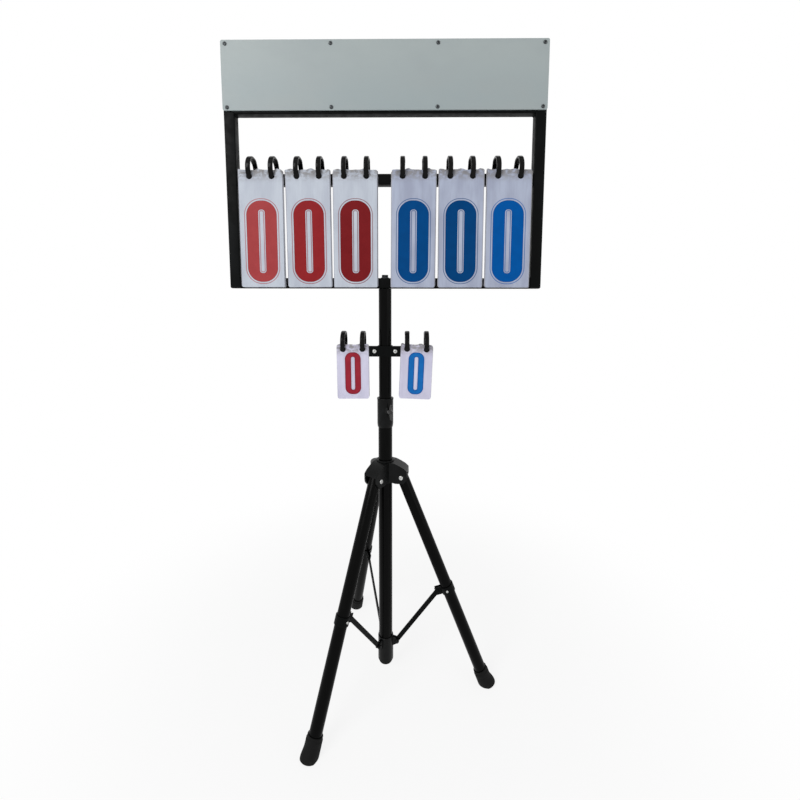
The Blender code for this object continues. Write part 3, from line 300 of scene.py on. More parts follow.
SHINY = shiny_black_plastic("shiny_black_plastic", 0.12)
KNOB_PLASTIC = shiny_black_plastic("polished_black_nylon", 0.6)
NYLON = grained_black_nylon()
print("made", SHINY.name, KNOB_PLASTIC.name, NYLON.name)

# %% [markdown]
# ## Rubber and zinc
# The feet are soft rubber with a dusty bloom, scuffed near the floor. Screws are bright zinc plate,
# whose crystals make tiny patches, a fifth of a millimetre in truth and drawn at 0.8 mm to show.

# %% Rubber and zinc
SCUFF_HEIGHT = 14.0
SCUFF_PATCH = 4.0
RUBBER_GRAIN = 1.1
RUBBER_DEPTH = 0.08
ZINC_CRYSTAL = 0.8


def bloomed_rubber():
    """Soft black rubber: nearly no gloss, with pale bloom and scuffs near the floor."""
    material, tree, sockets = new_finish("bloomed_rubber", "#0b0b0b", 0.72, 0.15)
    place = add(tree, "ShaderNodeTexCoord", output="Object")
    height = add(tree, "ShaderNodeSeparateXYZ", (place,), output="Z")
    near_floor = add(tree, "ShaderNodeMapRange", (height, SCUFF_HEIGHT * MM, 0.0), **SOFT_ENDS)
    patches = speckle(tree, SCUFF_PATCH, detail=4.0)
    patches = add(tree, "ShaderNodeMapRange", (patches, 0.4, 0.7), **SOFT_ENDS)
    scuffs = add(tree, "ShaderNodeMath", (near_floor, patches), operation="MULTIPLY")
    add(tree, "ShaderNodeMix", (scuffs, colour("#090909"), colour("#232221")),
        to=sockets["Base Color"], **OF_COLOURS)
    grain = speckle(tree, RUBBER_GRAIN, detail=3.0)
    add(tree, "ShaderNodeBump", {"Height": grain, "Distance": RUBBER_DEPTH * MM, "Strength": 0.6},
        to=sockets["Normal"])
    return material


def zinc_plate(name, dull, bright):
    """Zinc plate on steel: a metal whose crystals differ a little in brightness and gloss."""
    material, tree, sockets = new_finish(name, bright, 0.3, 0.5, metallic=1.0)
    crystals = speckle(tree, ZINC_CRYSTAL, detail=2.0)
    bare = add(tree, "ShaderNodeMapRange", (crystals, 0.35, 0.65), **SOFT_ENDS)
    add(tree, "ShaderNodeMix", (bare, colour(dull), colour(bright)), to=sockets["Base Color"],
        **OF_COLOURS)
    add(tree, "ShaderNodeMapRange", (crystals, 0.3, 0.7, 0.22, 0.4), to=sockets["Roughness"],
        **SOFT_ENDS)
    return material


RUBBER = bloomed_rubber()
ZINC = zinc_plate("bright_zinc_plate", "#a2a4a4", "#c6c6c2")
DARK_ZINC = zinc_plate("black_passivated_zinc", "#35383a", "#5a5d5f")
print("made", RUBBER.name, ZINC.name, DARK_ZINC.name)

# %% [markdown]
# ## Plastic cards and the printed zero
# A card is soft white plastic, printed with a solid zero. The zero needs no picture: its outline
# is a rectangle with round corners, and the distance to such an outline is one short formula. Ink
# lies where the distance to the outer outline is below zero and that to the slot is above it. A
# fine line follows each outline at a set distance, as on the printed card. The print reads the
# card's UV map, in decimetres from the zero's centre, so that it bends and flips with the card.

# %% The distance to an outline, and a line along it
DECIMETRE = 100.0


def outline_distance(tree, place, width, height, radius):
    """Distance in decimetres to a rectangle with round corners: the length of what a point's
    sizes exceed the inner rectangle's by, less the radius."""
    half = [(width / 2 - radius) / DECIMETRE, (height / 2 - radius) / DECIMETRE, 0]
    size = add(tree, "ShaderNodeVectorMath", (place,), operation="ABSOLUTE")
    beyond = add(tree, "ShaderNodeVectorMath", (size, half), operation="SUBTRACT")
    beyond = add(tree, "ShaderNodeVectorMath", (beyond, (0, 0, 0)), operation="MAXIMUM")
    length = add(tree, "ShaderNodeVectorMath", (beyond,), operation="LENGTH")
    return add(tree, "ShaderNodeMath", (length, radius / DECIMETRE), operation="SUBTRACT")


def fine_line(tree, distance, offset, width, strength):
    """A strength on a line that follows an outline at an offset, and zero away from it."""
    away = add(tree, "ShaderNodeMath", (distance, offset / DECIMETRE), operation="SUBTRACT")
    away = add(tree, "ShaderNodeMath", (away,), operation="ABSOLUTE")
    half = width / 2 / DECIMETRE
    line = add(tree, "ShaderNodeMapRange", (away, 2 * half, half), **SOFT_ENDS)
    return add(tree, "ShaderNodeMath", (line, strength), operation="MULTIPLY")


# %% [markdown]
# The plastic itself has clouds a few centimetres wide and streaks 3 mm apart, drawn out downwards.
# Flipping creases its top, and a grey-brown tone is painted there, partly grime and partly painted
# shade in the creases, so a mask by height lets it fade 26 mm below the edge, and folds 5 mm wide break it up.

# %% The card's surface
CARD_CLOUD = 30.0
STREAK = 3.0
GRIME_AND_SHADE_FOOT = 26.0
GRIME_AND_SHADE_HEAD = 3.0
FOLD = 5.0
DENT = 9.0
DENT_DEPTH = 0.4


def card_surface(name, paper, shadow, streaks, top):
    """White plastic with clouds, streaks, soft dents, and grime with painted crease shade near the top edge."""
    material, tree, sockets = new_finish(name, paper, 0.4, 0.06)
    cloud = speckle(tree, CARD_CLOUD, (1, 1, 3), 3.0)
    cloud = add(tree, "ShaderNodeMapRange", (cloud, 0.35, 0.7, 0.0, streaks), **SOFT_ENDS)
    base = add(tree, "ShaderNodeMix", (cloud, colour(paper), colour(shadow)), **OF_COLOURS)
    drawn = speckle(tree, STREAK, (1, 1, 14), 2.0)
    drawn = add(tree, "ShaderNodeMapRange", (drawn, 0.45, 0.8, 0.0, 0.5 * streaks), **SOFT_ENDS)
    base = add(tree, "ShaderNodeMix", (drawn, base, colour(shadow)), **OF_COLOURS)
    place = add(tree, "ShaderNodeTexCoord", output="UV")
    height = add(tree, "ShaderNodeSeparateXYZ", (place,), output="Y")
    # painted shade and grime: a band below the top edge where the creases are darkened
    blend_ramp = [(top - below) / DECIMETRE for below in (GRIME_AND_SHADE_FOOT, GRIME_AND_SHADE_HEAD)]
    near_top = add(tree, "ShaderNodeMapRange", (height, *blend_ramp), **SOFT_ENDS)
    folds = speckle(tree, FOLD, (1.5, 1, 1), 4.0)
    folds = add(tree, "ShaderNodeMapRange", (folds, 0.36, 0.6, 0.1, 0.85), **SOFT_ENDS)
    grime_and_crease_shade = add(tree, "ShaderNodeMath", (near_top, folds), operation="MULTIPLY")
    # painted crease shade, partly grime: the creased top is mixed towards grey-brown #8a8786
    base = add(tree, "ShaderNodeMix", (grime_and_crease_shade, base, colour("#8a8786")), **OF_COLOURS)
    dents = speckle(tree, DENT, (1.6, 1, 1), 3.0)
    add(tree, "ShaderNodeBump", {"Height": dents, "Distance": DENT_DEPTH * MM, "Strength": 0.6},
        to=sockets["Normal"])
    return material, tree, sockets, base


# %% Cards with and without a print
INK_EDGE = 0.15
MOTTLE = 16.0


def printed_card(name, paper, ink, rim, zero):
    """A card printed with a zero: the body in ink with a darker rim, and two fine lines."""
    material, tree, sockets, base = card_surface(name, *paper, zero["top"])
    place = add(tree, "ShaderNodeTexCoord", output="UV")
    outer = outline_distance(tree, place, *zero["outer"])
    slot = outline_distance(tree, place, *zero["slot"])
    for distance, line in ((outer, zero["outer_line"]), (slot, zero["slot_line"])):
        faint = fine_line(tree, distance, *line)
        base = add(tree, "ShaderNodeMix", (faint, base, colour(ink)), **OF_COLOURS)
    edge = INK_EDGE / DECIMETRE
    inside = add(tree, "ShaderNodeMapRange", (outer, edge, -edge), **SOFT_ENDS)
    solid = add(tree, "ShaderNodeMapRange", (slot, -edge, edge), **SOFT_ENDS)
    body = add(tree, "ShaderNodeMath", (inside, solid), operation="MULTIPLY")
    depth = zero["rim"] / DECIMETRE
    outer_rim = add(tree, "ShaderNodeMapRange", (outer, -depth, 0.0), **SOFT_ENDS)
    slot_rim = add(tree, "ShaderNodeMapRange", (slot, depth, 0.0), **SOFT_ENDS)
    near_edge = add(tree, "ShaderNodeMath", (outer_rim, slot_rim), operation="MAXIMUM")
    mottle = speckle(tree, MOTTLE, detail=3.0)
    mottle = add(tree, "ShaderNodeMapRange", (mottle, 0.35, 0.7, 0.0, 0.25), **SOFT_ENDS)
    inked = add(tree, "ShaderNodeMix", (mottle, colour(ink), colour(rim)), **OF_COLOURS)
    inked = add(tree, "ShaderNodeMix", (near_edge, inked, colour(rim)), **OF_COLOURS)
    add(tree, "ShaderNodeMix", (body, base, inked), to=sockets["Base Color"], **OF_COLOURS)
    return material


def plain_card(name, top):
    """The cards behind, of which the edges and the last card's back show."""
    material, tree, sockets, base = card_surface(name, "#bcbec8", "#a2a2ab", 0.7, top)
    tree.links.new(base, sockets["Base Color"])
    return material


# %% [markdown]
# The prints differ only in numbers. An outline is its width, height and corner radius, and a fine
# line its distance from an outline, its width and its strength. Each pad has its own ink, because
# some have faded more than others, and a darker ink for the rim. The papers are each a colour, a
# shadow and the strength of its streaks.

# %% Zeros, papers and inks


def zero_on(card, foot, outer, **sizes):
    """The sizes of a zero whose outer outline stands at a height above the card's lower edge. The
    centre is measured up from that edge, and the top is the card's, measured from the centre."""
    low, high = corners(card)
    centre = foot + outer[1] / 2
    return {"outer": outer, "centre": centre, "top": high[2] - low[2] - centre, **sizes}


LARGE_ZERO = zero_on("red_1_front_card", foot=10, outer=(58, 152, 27), slot=(12.3, 118.5, 5.2),
                     rim=1.2, outer_line=(3.2, 1.0, 0.75), slot_line=(-2.2, 1.0, 0.75))
SMALL_ZERO = zero_on("red_set_front_card", foot=9, outer=(31, 83, 13.5), slot=(7, 65, 3.3),
                     rim=2.6, outer_line=(1.5, 0.5, 0.15), slot_line=(-1.2, 0.5, 0.2))
PAPERS = {"red": ("#c8cfda", "#b2b8c6", 0.6), "blue": ("#b4bcd0", "#a0a6bb", 0.9)}
SMALL_PAPER = ("#d9d7ec", "#c6c4da", 0.8)
INKS = {"red_1": ("#a94446", "#963639"), "red_2": ("#93262a", "#801d21"),
        "red_3": ("#7a1c20", "#6a1418"), "red_set": ("#a02c3a", "#75182a"),
        "blue_1": ("#004785", "#003a70"), "blue_2": ("#00417a", "#003567"),
        "blue_3": ("#0056a4", "#00488c"), "blue_set": ("#1c6fbc", "#0f4f96")}
CARD_PRINTS = {}
for pad, inks in INKS.items():
    side, place = pad.split("_")
    paper, zero = (SMALL_PAPER, SMALL_ZERO) if place == "set" else (PAPERS[side], LARGE_ZERO)
    CARD_PRINTS[pad] = printed_card(f"screen_printed_plastic_{pad}", paper, *inks, zero)
LARGE_PLAIN = plain_card("plain_card_plastic_large", LARGE_ZERO["top"])
SMALL_PLAIN = plain_card("plain_card_plastic_small", SMALL_ZERO["top"])
print("made", len(CARD_PRINTS), "printed cards, whose tops are", LARGE_ZERO["top"], "and",
      SMALL_ZERO["top"], "mm above the zeros' centres")

# %% [markdown]
# ## Surfaces from arrays
# Each shape below is a grid of points: one parameter runs along the piece and one runs round it.
# Neighbours on the grid share quads, and a grid that meets itself is wrapped. A closed shell knows
# which way is out from its volume: if the sum over its triangles comes out negative, every face is
# turned over.

# %% Grids and closed shells


def grid_faces(rows, columns, wrap_rows=False, wrap_columns=False):
    """Quads between neighbours on a grid; a wrapped side joins its last points to its first."""
    index = np.arange(rows * columns).reshape(rows, columns)
    if wrap_rows:
        index = np.vstack([index, index[:1]])
    if wrap_columns:
        index = np.hstack([index, index[:, :1]])
    quads = [index[:-1, :-1], index[:-1, 1:], index[1:, 1:], index[1:, :-1]]
    return np.stack(quads, axis=-1).reshape(-1, 4)


def outward(points, quads, caps=()):
    """A shell whose faces point out: its volume is a sixth of the sum of a · (b × c)."""
    fans = [np.column_stack([np.full(len(cap) - 2, cap[0]), cap[1:-1], cap[2:]]) for cap in caps]
    triangles = np.vstack([quads[:, [0, 1, 2]], quads[:, [0, 2, 3]], *fans])
    a, b, c = (points - points.mean(axis=0))[triangles].transpose(1, 0, 2)
    faces = quads.tolist() + [cap.tolist() for cap in caps]
    if np.einsum("ij,ij", a, np.cross(b, c)) < 0:
        faces = [face[::-1] for face in faces]
    return points, faces


def loft(rings, ring_path=False):
    """A closed shell through rings of points, an array (ring, point, xyz). The end rings get flat
    caps, unless the rings themselves run in a ring."""
    count, around = rings.shape[:2]
    quads = grid_faces(count, around, ring_path, True)
    ends = () if ring_path else (np.arange(around), np.arange(around) + (count - 1) * around)
    return outward(rings.reshape(-1, 3), quads, ends)


print("a loft through two squares has", len(loft(np.zeros((2, 4, 3)))[1]), "faces")

# %% Turned shapes and outlines


def turned(profile, segments=48, ring_path=False):
    """A turned shell: each (radius, height) of the profile becomes a circle round Z."""
    radius, height = np.array(profile, float).T
    angle = np.linspace(0, 2 * np.pi, segments, endpoint=False)
    x = radius[:, None] * np.cos(angle)
    y = radius[:, None] * np.sin(angle)
    z = np.broadcast_to(height[:, None], x.shape)
    return loft(np.stack([x, y, z], axis=-1), ring_path)


def rounded_outline(width, height, radius, steps=5):
    """Points round a rectangle with round corners: each corner's centre and a quarter circle."""
    angle = np.radians(np.linspace(0, 90, steps)[None, :] + 90 * np.arange(4)[:, None])
    sign_x = np.array([1, -1, -1, 1])[:, None]
    sign_y = np.array([1, 1, -1, -1])[:, None]
    x = sign_x * (width / 2 - radius) + radius * np.cos(angle)
    y = sign_y * (height / 2 - radius) + radius * np.sin(angle)
    return np.column_stack([x.ravel(), y.ravel()])


print("a turned disc has", len(turned([(5, 0), (5, 1)])[1]), "faces")

# %% Putting a shell in its place


def unit(vector):
    """A vector of length one."""
    vector = np.array(vector, float)
    return vector / np.linalg.norm(vector)


def placed(shell, at=(0, 0, 0), along=(0, 0, 1), across=(1, 0, 0)):
    """A shell with its Z axis turned along one direction, its X axis towards another, and moved."""
    z = unit(along)
    y = unit(np.cross(z, across))
    points, faces = shell
    return points @ np.array([np.cross(y, z), y, z]) + np.array(at), faces


FRONT = (0, -1, 0)
BACK = (0, 1, 0)
UP = (0, 0, 1)
RIGHT = (1, 0, 0)
print("a point on Z, turned to the front, is at", placed((np.array([UP]), []), along=FRONT)[0])

# %% [markdown]
# ## From shells to a piece
# A piece is one or more closed shells in one mesh. It rides on the body of the node it stands for,
# so that it moves with the model.

# %% The function that makes a piece
SHARP_TURN = 40


def soften(made, width):
    """Rounds the edges that turn by more than 40 degrees, as a mould or a press leaves them."""
    rounding = made.modifiers.new("rounded_edges", "BEVEL")
    rounding.width = width * MM
    rounding.segments = 2
    rounding.limit_method = "ANGLE"
    rounding.angle_limit = math.radians(SHARP_TURN)
    rounding.harden_normals = True


def piece(name, shells, finish, *nodes, sharp=35, bevel=0.0, uv=None, slot=None):
    """One object from closed shells in millimetres. It stands for the named nodes. A UV map, where
    there is one, has a row for each point."""
    points, faces = [], []
    for shell_points, shell_faces in shells:
        start = sum(map(len, points))
        points.append(shell_points)
        faces += [[corner + start for corner in face] for face in shell_faces]
    mesh = bpy.data.meshes.new(name)
    mesh.from_pydata((np.vstack(points) * MM).tolist(), [], faces)
    mesh.materials.append(finish)
    if uv is not None:
        loop_vertex = np.zeros(len(mesh.loops), int)
        mesh.loops.foreach_get("vertex_index", loop_vertex)
        mesh.uv_layers.new(name="card").data.foreach_set("uv", uv[loop_vertex].ravel())
    mesh.shade_smooth()
    mesh.set_sharp_from_angle(angle=math.radians(sharp))
    made = bpy.data.objects.new(name, mesh)
    bpy.context.scene.collection.objects.link(made)
    if bevel:
        soften(made, bevel)
    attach(made, BODY_OF[nodes[0]])
    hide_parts(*nodes)
    print(f"{name}: {len(faces)} faces on {BODY_OF[nodes[0]]}")
    return made


# %% [markdown]
# Some parts already have their true shape in the model and only lack the soft edge that catches
# light. A node's mesh is loose triangles, so a copy is merged, its flat faces are made whole, and
# then a bevel can round its edges.

# %% The function that softens a copy of a node


def softened_copy(node, name, finish, bevel, change=None):
    """A copy of a node with its points merged, its flat faces made whole and its edges rounded. Its
    points may be changed first."""
    work = bmesh.new()
    work.from_mesh(frame["nodes"][node].data)
    bmesh.ops.remove_doubles(work, verts=work.verts, dist=0.005 * MM)
    bmesh.ops.dissolve_limit(work, angle_limit=math.radians(1), verts=work.verts,
                             edges=work.edges)
    points = np.array([v.co for v in work.verts]) / MM
    faces = [[v.index for v in face.verts] for face in work.faces]
    work.free()
    if change:
        points = change(points)
    return piece(name, [(points, faces)], finish, node, bevel=bevel)


# %% [markdown]
# ## Square tubes of the frame
# The uprights and rails are 20 mm square tube with a small corner radius. A tube is an outline
# carried along a straight line, so two rings of points would do. The uprights' ends hold plastic
# plugs, domed by a quarter circle, which is what softens the frame's corners.

# %% A straight bar and a domed plug
TUBE = 20.0
TUBE_CORNER = 1.6
PLUG_DOME = 3.0


def straight_bar(outline, start, end, along, across):
    """An outline carried from one point to another."""
    length = np.linalg.norm(np.array(end) - np.array(start))
    rings = np.stack([np.column_stack([outline, np.full(len(outline), z)])
                      for z in (0.0, length)])
    return placed(loft(rings), start, along, across)


def domed_plug(width, corner, dome, steps=6):
    """A square plug whose edge is a quarter circle: the outline shrinks as the height grows, and
    its corners get rounder."""
    turn = np.linspace(0, np.pi / 2, steps)
    rings = []
    for inset, height in zip(dome * (1 - np.cos(turn)), dome * np.sin(turn)):
        outline = rounded_outline(width - 2 * inset, width - 2 * inset, corner + 0.4 * inset)
        rings.append(np.column_stack([outline, np.full(len(outline), height)]))
    return loft(np.array(rings))


SQUARE = rounded_outline(TUBE, TUBE, TUBE_CORNER)
PLUG = domed_plug(TUBE, TUBE_CORNER, PLUG_DOME)
print("the tube's outline has", len(SQUARE), "points, and a plug has", len(PLUG[1]), "faces")

# %% Uprights, plugs and rails
BOARD_LOW, BOARD_HIGH = corners("left_upright")[0], corners("right_upright")[1]
BOARD_Y = (BOARD_LOW[1] + BOARD_HIGH[1]) / 2
INNER_SIDES = (BOARD_LOW[0] + TUBE, BOARD_HIGH[0] - TUBE)
RAILS = {name: middle(name)[2] for name in ("top_rail", "panel_rail", "bottom_rail")}

for side, x in (("left", BOARD_LOW[0] + TUBE / 2), ("right", BOARD_HIGH[0] - TUBE / 2)):
    foot = (x, BOARD_Y, BOARD_LOW[2] + PLUG_DOME)
    head = (x, BOARD_Y, BOARD_HIGH[2] - PLUG_DOME)
    bar = straight_bar(SQUARE, foot, head, UP, RIGHT)
    piece(f"{side}_upright_tube", [bar], POWDER, f"{side}_upright")
    plugs = [placed(PLUG, head, UP, RIGHT), placed(PLUG, foot, (0, 0, -1), RIGHT)]
    piece(f"{side}_upright_plugs", plugs, NYLON, f"{side}_upright", slot="moulded_plastic")
for name, z in RAILS.items():
    ends = [(x, BOARD_Y, z) for x in INNER_SIDES]
    piece(f"{name}_tube", [straight_bar(SQUARE, *ends, RIGHT, BACK)], POWDER, name)

# %% [markdown]
# ## Weld beads
# A rail meets an upright in a short fillet weld above and below. The welder moves on in small
# steps, and each leaves a ripple, so the bead is a rod across the tube whose radius rises and falls
# every 2.4 mm. On the board's outer edge such beads are ground flush, so they are left out.

# %% Beads at the ends of the rails
BEAD_RADIUS = 1.7
RIPPLE = 2.4
RIPPLE_HEIGHT = 0.13
BEAD_LENGTH = TUBE - 2 * TUBE_CORNER


def weld_bead(centre):
    """A rod along Y: radius × (1 + a small sine of the place along it), drawn in at both ends."""
    along = np.linspace(-BEAD_LENGTH / 2, BEAD_LENGTH / 2, 57)
    ends = np.sqrt(np.clip(1 - (2 * along / BEAD_LENGTH) ** 8, 0.02, 1))
    ripples = 1 + RIPPLE_HEIGHT * np.sin(2 * np.pi * along / RIPPLE)
    profile = np.column_stack([BEAD_RADIUS * ends * ripples, along])
    return placed(turned(profile, 12), centre, BACK, RIGHT)


RAIL_LEVELS = (*RAILS.values(), middle("ring_bar")[2])
BEAD_LEVELS = [z + half for z in RAIL_LEVELS for half in (-TUBE / 2, TUBE / 2)]
INNER_LEVELS = [z for z in BEAD_LEVELS if BOARD_LOW[2] + 1 < z < BOARD_HIGH[2] - 1]
BEADS = [weld_bead((x, BOARD_Y, z)) for z in INNER_LEVELS for x in INNER_SIDES]
piece("weld_beads", BEADS, POWDER, *RAILS, sharp=60)
softened_copy("ring_bar", "ring_bar_drilled", POWDER, 0.3)

# %% [markdown]
# ## Screws
# The sheet, the bar and the legs are held by pan-head screws with a cross recess. A head is a
# dome over a circle, and the cross is a dip in that dome: deep where a point lies close to either
# arm and not far from the centre. One height function of radius and angle gives both.

# %% Pan-head screws


def pan_head(radius, height, cross=True):
    """A head on Z = 0: a dome with a rounded edge, less a cross whose depth fades to its ends."""
    part = np.linspace(0.001, 1, 26)[::-1]
    angle = np.linspace(0, 2 * np.pi, 48, endpoint=False)
    r, a = np.meshgrid(part * radius, angle, indexing="ij")
    x, y = r * np.cos(a), r * np.sin(a)
    z = height * np.sqrt(np.clip(1 - 0.55 * (r / radius) ** 2 - 0.43 * (r / radius) ** 8, 0, 1))
    if cross:
        arm = np.minimum(np.abs(x), np.abs(y)) / (0.17 * radius)
        reach = r / (0.62 * radius)
        dip = np.clip(1.6 * (1 - arm), 0, 1) * np.clip(1.5 * (1 - reach), 0, 1)
        z = z - 0.6 * height * dip
    top = np.stack([x, y, z], axis=-1)
    base = top[:1] * (1, 1, 0)
    return loft(np.concatenate([base, top]))


print("a screw head has", len(pan_head(3.6, 2.0)[1]), "faces")

# %% [markdown]
# A bolt's head is forged as a hexagon and then turned, which cuts its six corners to a slant. The
# same order works here: the radius at each height and angle is the smaller of the turned profile's
# and the hexagon's.

# %% Hexagon bolts and nuts
CORNER_CUT = 1.13


def hex_bolt_head(across, flange, flange_height, height):
    """A round flange, and a head whose radius is the smaller of a turned profile's and of the
    hexagon's, which is half the size across flats over the cosine of the angle to the flat."""
    profile = np.array([(flange, 0), (flange, flange_height * 0.6), (flange * 0.86, flange_height),
                        (across / 2 + 0.3, flange_height + 0.1), (across, flange_height + 0.2),
                        (across, height - 1.2), (across * 0.5, height), (0.05, height)])
    angle = np.linspace(0, 2 * np.pi, 96, endpoint=False)
    to_flat = (angle + np.pi / 6) % (np.pi / 3) - np.pi / 6
    hexagon = across / 2 / np.cos(to_flat)
    radius, z = profile[:, :1], profile[:, 1:] + 0 * angle
    radius = np.where(z > flange_height, np.minimum(CORNER_CUT * radius, hexagon), radius)
    return loft(np.stack([radius * np.cos(angle), radius * np.sin(angle), z], axis=-1))


print("a bolt head has", len(hex_bolt_head(12, 8.5, 1.4, 6)[1]), "faces")

# %% [markdown]
# ## Flat sheets
# The header, the cards and the set-score bar are all sheets with round corners, and most have
# holes. A sheet is a flat grid with a thickness. Squares of the grid fall out where a hole is, and
# the points round them are drawn to a circle, so the holes cost few faces and need no cutting.

# %% A grid with holes
HOLE_STEPS = 7
HOLE_MARGIN = 1.3


def grid_lines(marks, step):
    """Grid lines through each mark, with the gaps between them cut evenly, no step too long."""
    marks = np.unique(np.round(marks, 3))
    parts = [np.linspace(a, b, int(np.ceil((b - a) / step)) + 1)[:-1]
             for a, b in zip(marks, marks[1:])]
    return np.append(np.concatenate(parts), marks[-1])


def round_corners(points, width, height, corner):
    """Points in a corner's square move in from its outline to a circle: their offset from the
    square's inner corner is scaled by its larger size over its length."""
    inner = np.array([width, height]) / 2 - corner
    beyond = np.abs(points) - inner
    in_corner = beyond.min(axis=1) > 0
    ratio = np.ones(len(points))
    ratio[in_corner] = beyond[in_corner].max(axis=1) / np.linalg.norm(beyond[in_corner], axis=1)
    squeezed = np.sign(points) * (inner + beyond * ratio[:, None])
    return np.where(in_corner[:, None], squeezed, points)


def flat_sheet(width, height, corner, step, holes=(), hole=1.0):
    """Points (x, z) and quads of a rectangle about the origin. A square round each hole falls out.
    Round it, a point moves from the square to the circle of the same size."""
    reach = HOLE_MARGIN * hole
    marks_x = [-width / 2, -width / 2 + corner, width / 2 - corner, width / 2]
    marks_z = [-height / 2, -height / 2 + corner, height / 2 - corner, height / 2]
    for x, z in holes:
        marks_x += [x - reach, *np.linspace(x - hole, x + hole, HOLE_STEPS), x + reach]
        marks_z += [z - reach, *np.linspace(z - hole, z + hole, HOLE_STEPS), z + reach]
    x, z = np.meshgrid(grid_lines(marks_x, step), grid_lines(marks_z, step), indexing="ij")
    quads = grid_faces(*x.shape)
    points = np.column_stack([x.ravel(), z.ravel()])
    centre = points[quads].mean(axis=1)
    points = round_corners(points, width, height, corner)
    for spot in np.array(holes).reshape(-1, 2):
        kept = np.abs(centre - spot).max(axis=1) > hole
        quads, centre = quads[kept], centre[kept]
        offset = points - spot
        size = np.abs(offset).max(axis=1)
        length = np.maximum(np.linalg.norm(offset, axis=1), 1e-6)
        share = np.clip((size - hole) / (reach - hole), 0, 1)
        factor = np.where(size < reach, (1 - share) * size / length + share, 1)
        points = spot + offset * factor[:, None]
    used, packed = np.unique(quads, return_inverse=True)
    return points[used], packed.reshape(-1, 4)


print("a sheet with one hole has", len(flat_sheet(60, 60, 3, 10, [(0, 0)], 5)[1]), "quads")

# %% A grid with a thickness


def thick_sheet(flat, quads, front_y, thickness):
    """Front and back layers of a sheet, joined by walls along each edge that has one face only."""
    count = len(flat)
    front = np.column_stack([flat[:, 0], front_y, flat[:, 1]])
    back = front + (0, thickness, 0)
    edges = np.stack([quads, np.roll(quads, -1, axis=1)], axis=-1).reshape(-1, 2)
    names = np.sort(edges, axis=1)
    _, first, uses = np.unique(names, axis=0, return_index=True, return_counts=True)
    rim = edges[first[uses == 1]]
    walls = np.column_stack([rim[:, 1], rim[:, 0], rim[:, 0] + count, rim[:, 1] + count])
    return outward(np.vstack([front, back]), np.vstack([quads, quads[:, ::-1] + count, walls]))


square = flat_sheet(60, 60, 3, 10)
print("a plain sheet has", len(square[1]), "quads, and with a thickness",
      len(thick_sheet(*square, np.zeros(len(square[0])), 2)[1]))

# %% [markdown]
# ## The header sheet
# The grey sheet lies on the frame's face and is held along its edges by eight screws. Free in its
# middle, it bows by up to 0.6 mm in slow waves, and that is what moves the reflections.

# %% Sheet and screws
HEADER_SIZE = HEADER_HIGH - HEADER_LOW
SHEET_THICKNESS = 3.0
SHEET_CORNER = 3.0
SHEET_STEP = 12.0
SHEET_FRONT = stated_place(MOUNTS, "header_face")[1]
BOW = 0.3
BOW_WAVE = 196.0
SCREW_FROM_SIDE = 8.5
SCREW_FROM_MIDDLE = 98.0
SCREW_FROM_TOP = 7.0
SCREW_FROM_FOOT = 5.5
SCREW_X = (HEADER_SIZE[0] / 2 - SCREW_FROM_SIDE, SCREW_FROM_MIDDLE)
SCREW_Z = (HEADER_HIGH[2] - SCREW_FROM_TOP, HEADER_LOW[2] + SCREW_FROM_FOOT)

flat, quads = flat_sheet(HEADER_SIZE[0], HEADER_SIZE[2], SHEET_CORNER, SHEET_STEP)
x, z = flat.T
bow = BOW * (1 - np.cos(2 * np.pi * x / BOW_WAVE)) * np.cos(np.pi * z / HEADER_SIZE[2])
points, faces = thick_sheet(flat, quads, SHEET_FRONT - bow, SHEET_THICKNESS)
piece("header_sheet", [(points + (0, 0, middle("header_panel")[2]), faces)], HEADER,
      "header_panel", bevel=0.5)

HEAD = pan_head(3.6, 2.0)
SPOTS = [(sign * x, SHEET_FRONT, z) for sign in (-1, 1) for x in SCREW_X for z in SCREW_Z]
piece("header_screws", [placed(HEAD, spot, FRONT, (1, 0, 1)) for spot in SPOTS], DARK_ZINC,
      "header_panel", sharp=40, slot="zinc")

# %% [markdown]
# ## The bolt on the bottom rail
# A flanged hexagon bolt goes down through the bottom rail into the mast's plug.

# %% The board's bolt
BOLT_LOW, BOLT_HIGH = corners("board_bolt")
SHANK_RADIUS = 3.0
UNDER_HEAD = 0.1
RAIL_TOP = RAILS["bottom_rail"] + TUBE / 2
bolt_at = middle("board_bolt") * (1, 1, 0) + (0, 0, RAIL_TOP + UNDER_HEAD)
bolt_head = hex_bolt_head(12, 8.5, 1.4, BOLT_HIGH[2] - bolt_at[2])
shank = turned([(SHANK_RADIUS, 0), (SHANK_RADIUS, bolt_at[2] - BOLT_LOW[2])], 24)
piece("board_bolt_hexagon", [placed(bolt_head, bolt_at), placed(shank, bolt_at, (0, 0, -1))],
      DARK_ZINC, "board_bolt", sharp=30)

# %% [markdown]
# ## Snap rings
# Each card hangs on two black plastic rings that snap shut. A ring is a rounded section carried
# round a circle. The clasp sits at the back of the top: the band is wider and thicker there, and
# two hair-fine grooves show where the halves meet. Opposite the clasp it thins to a hinge.

# %% The rings
RING_BAND = 5.0
RING_CORNER = 1.9
CLASP_ANGLE = math.radians(60)
CLASP_HALF = 0.22


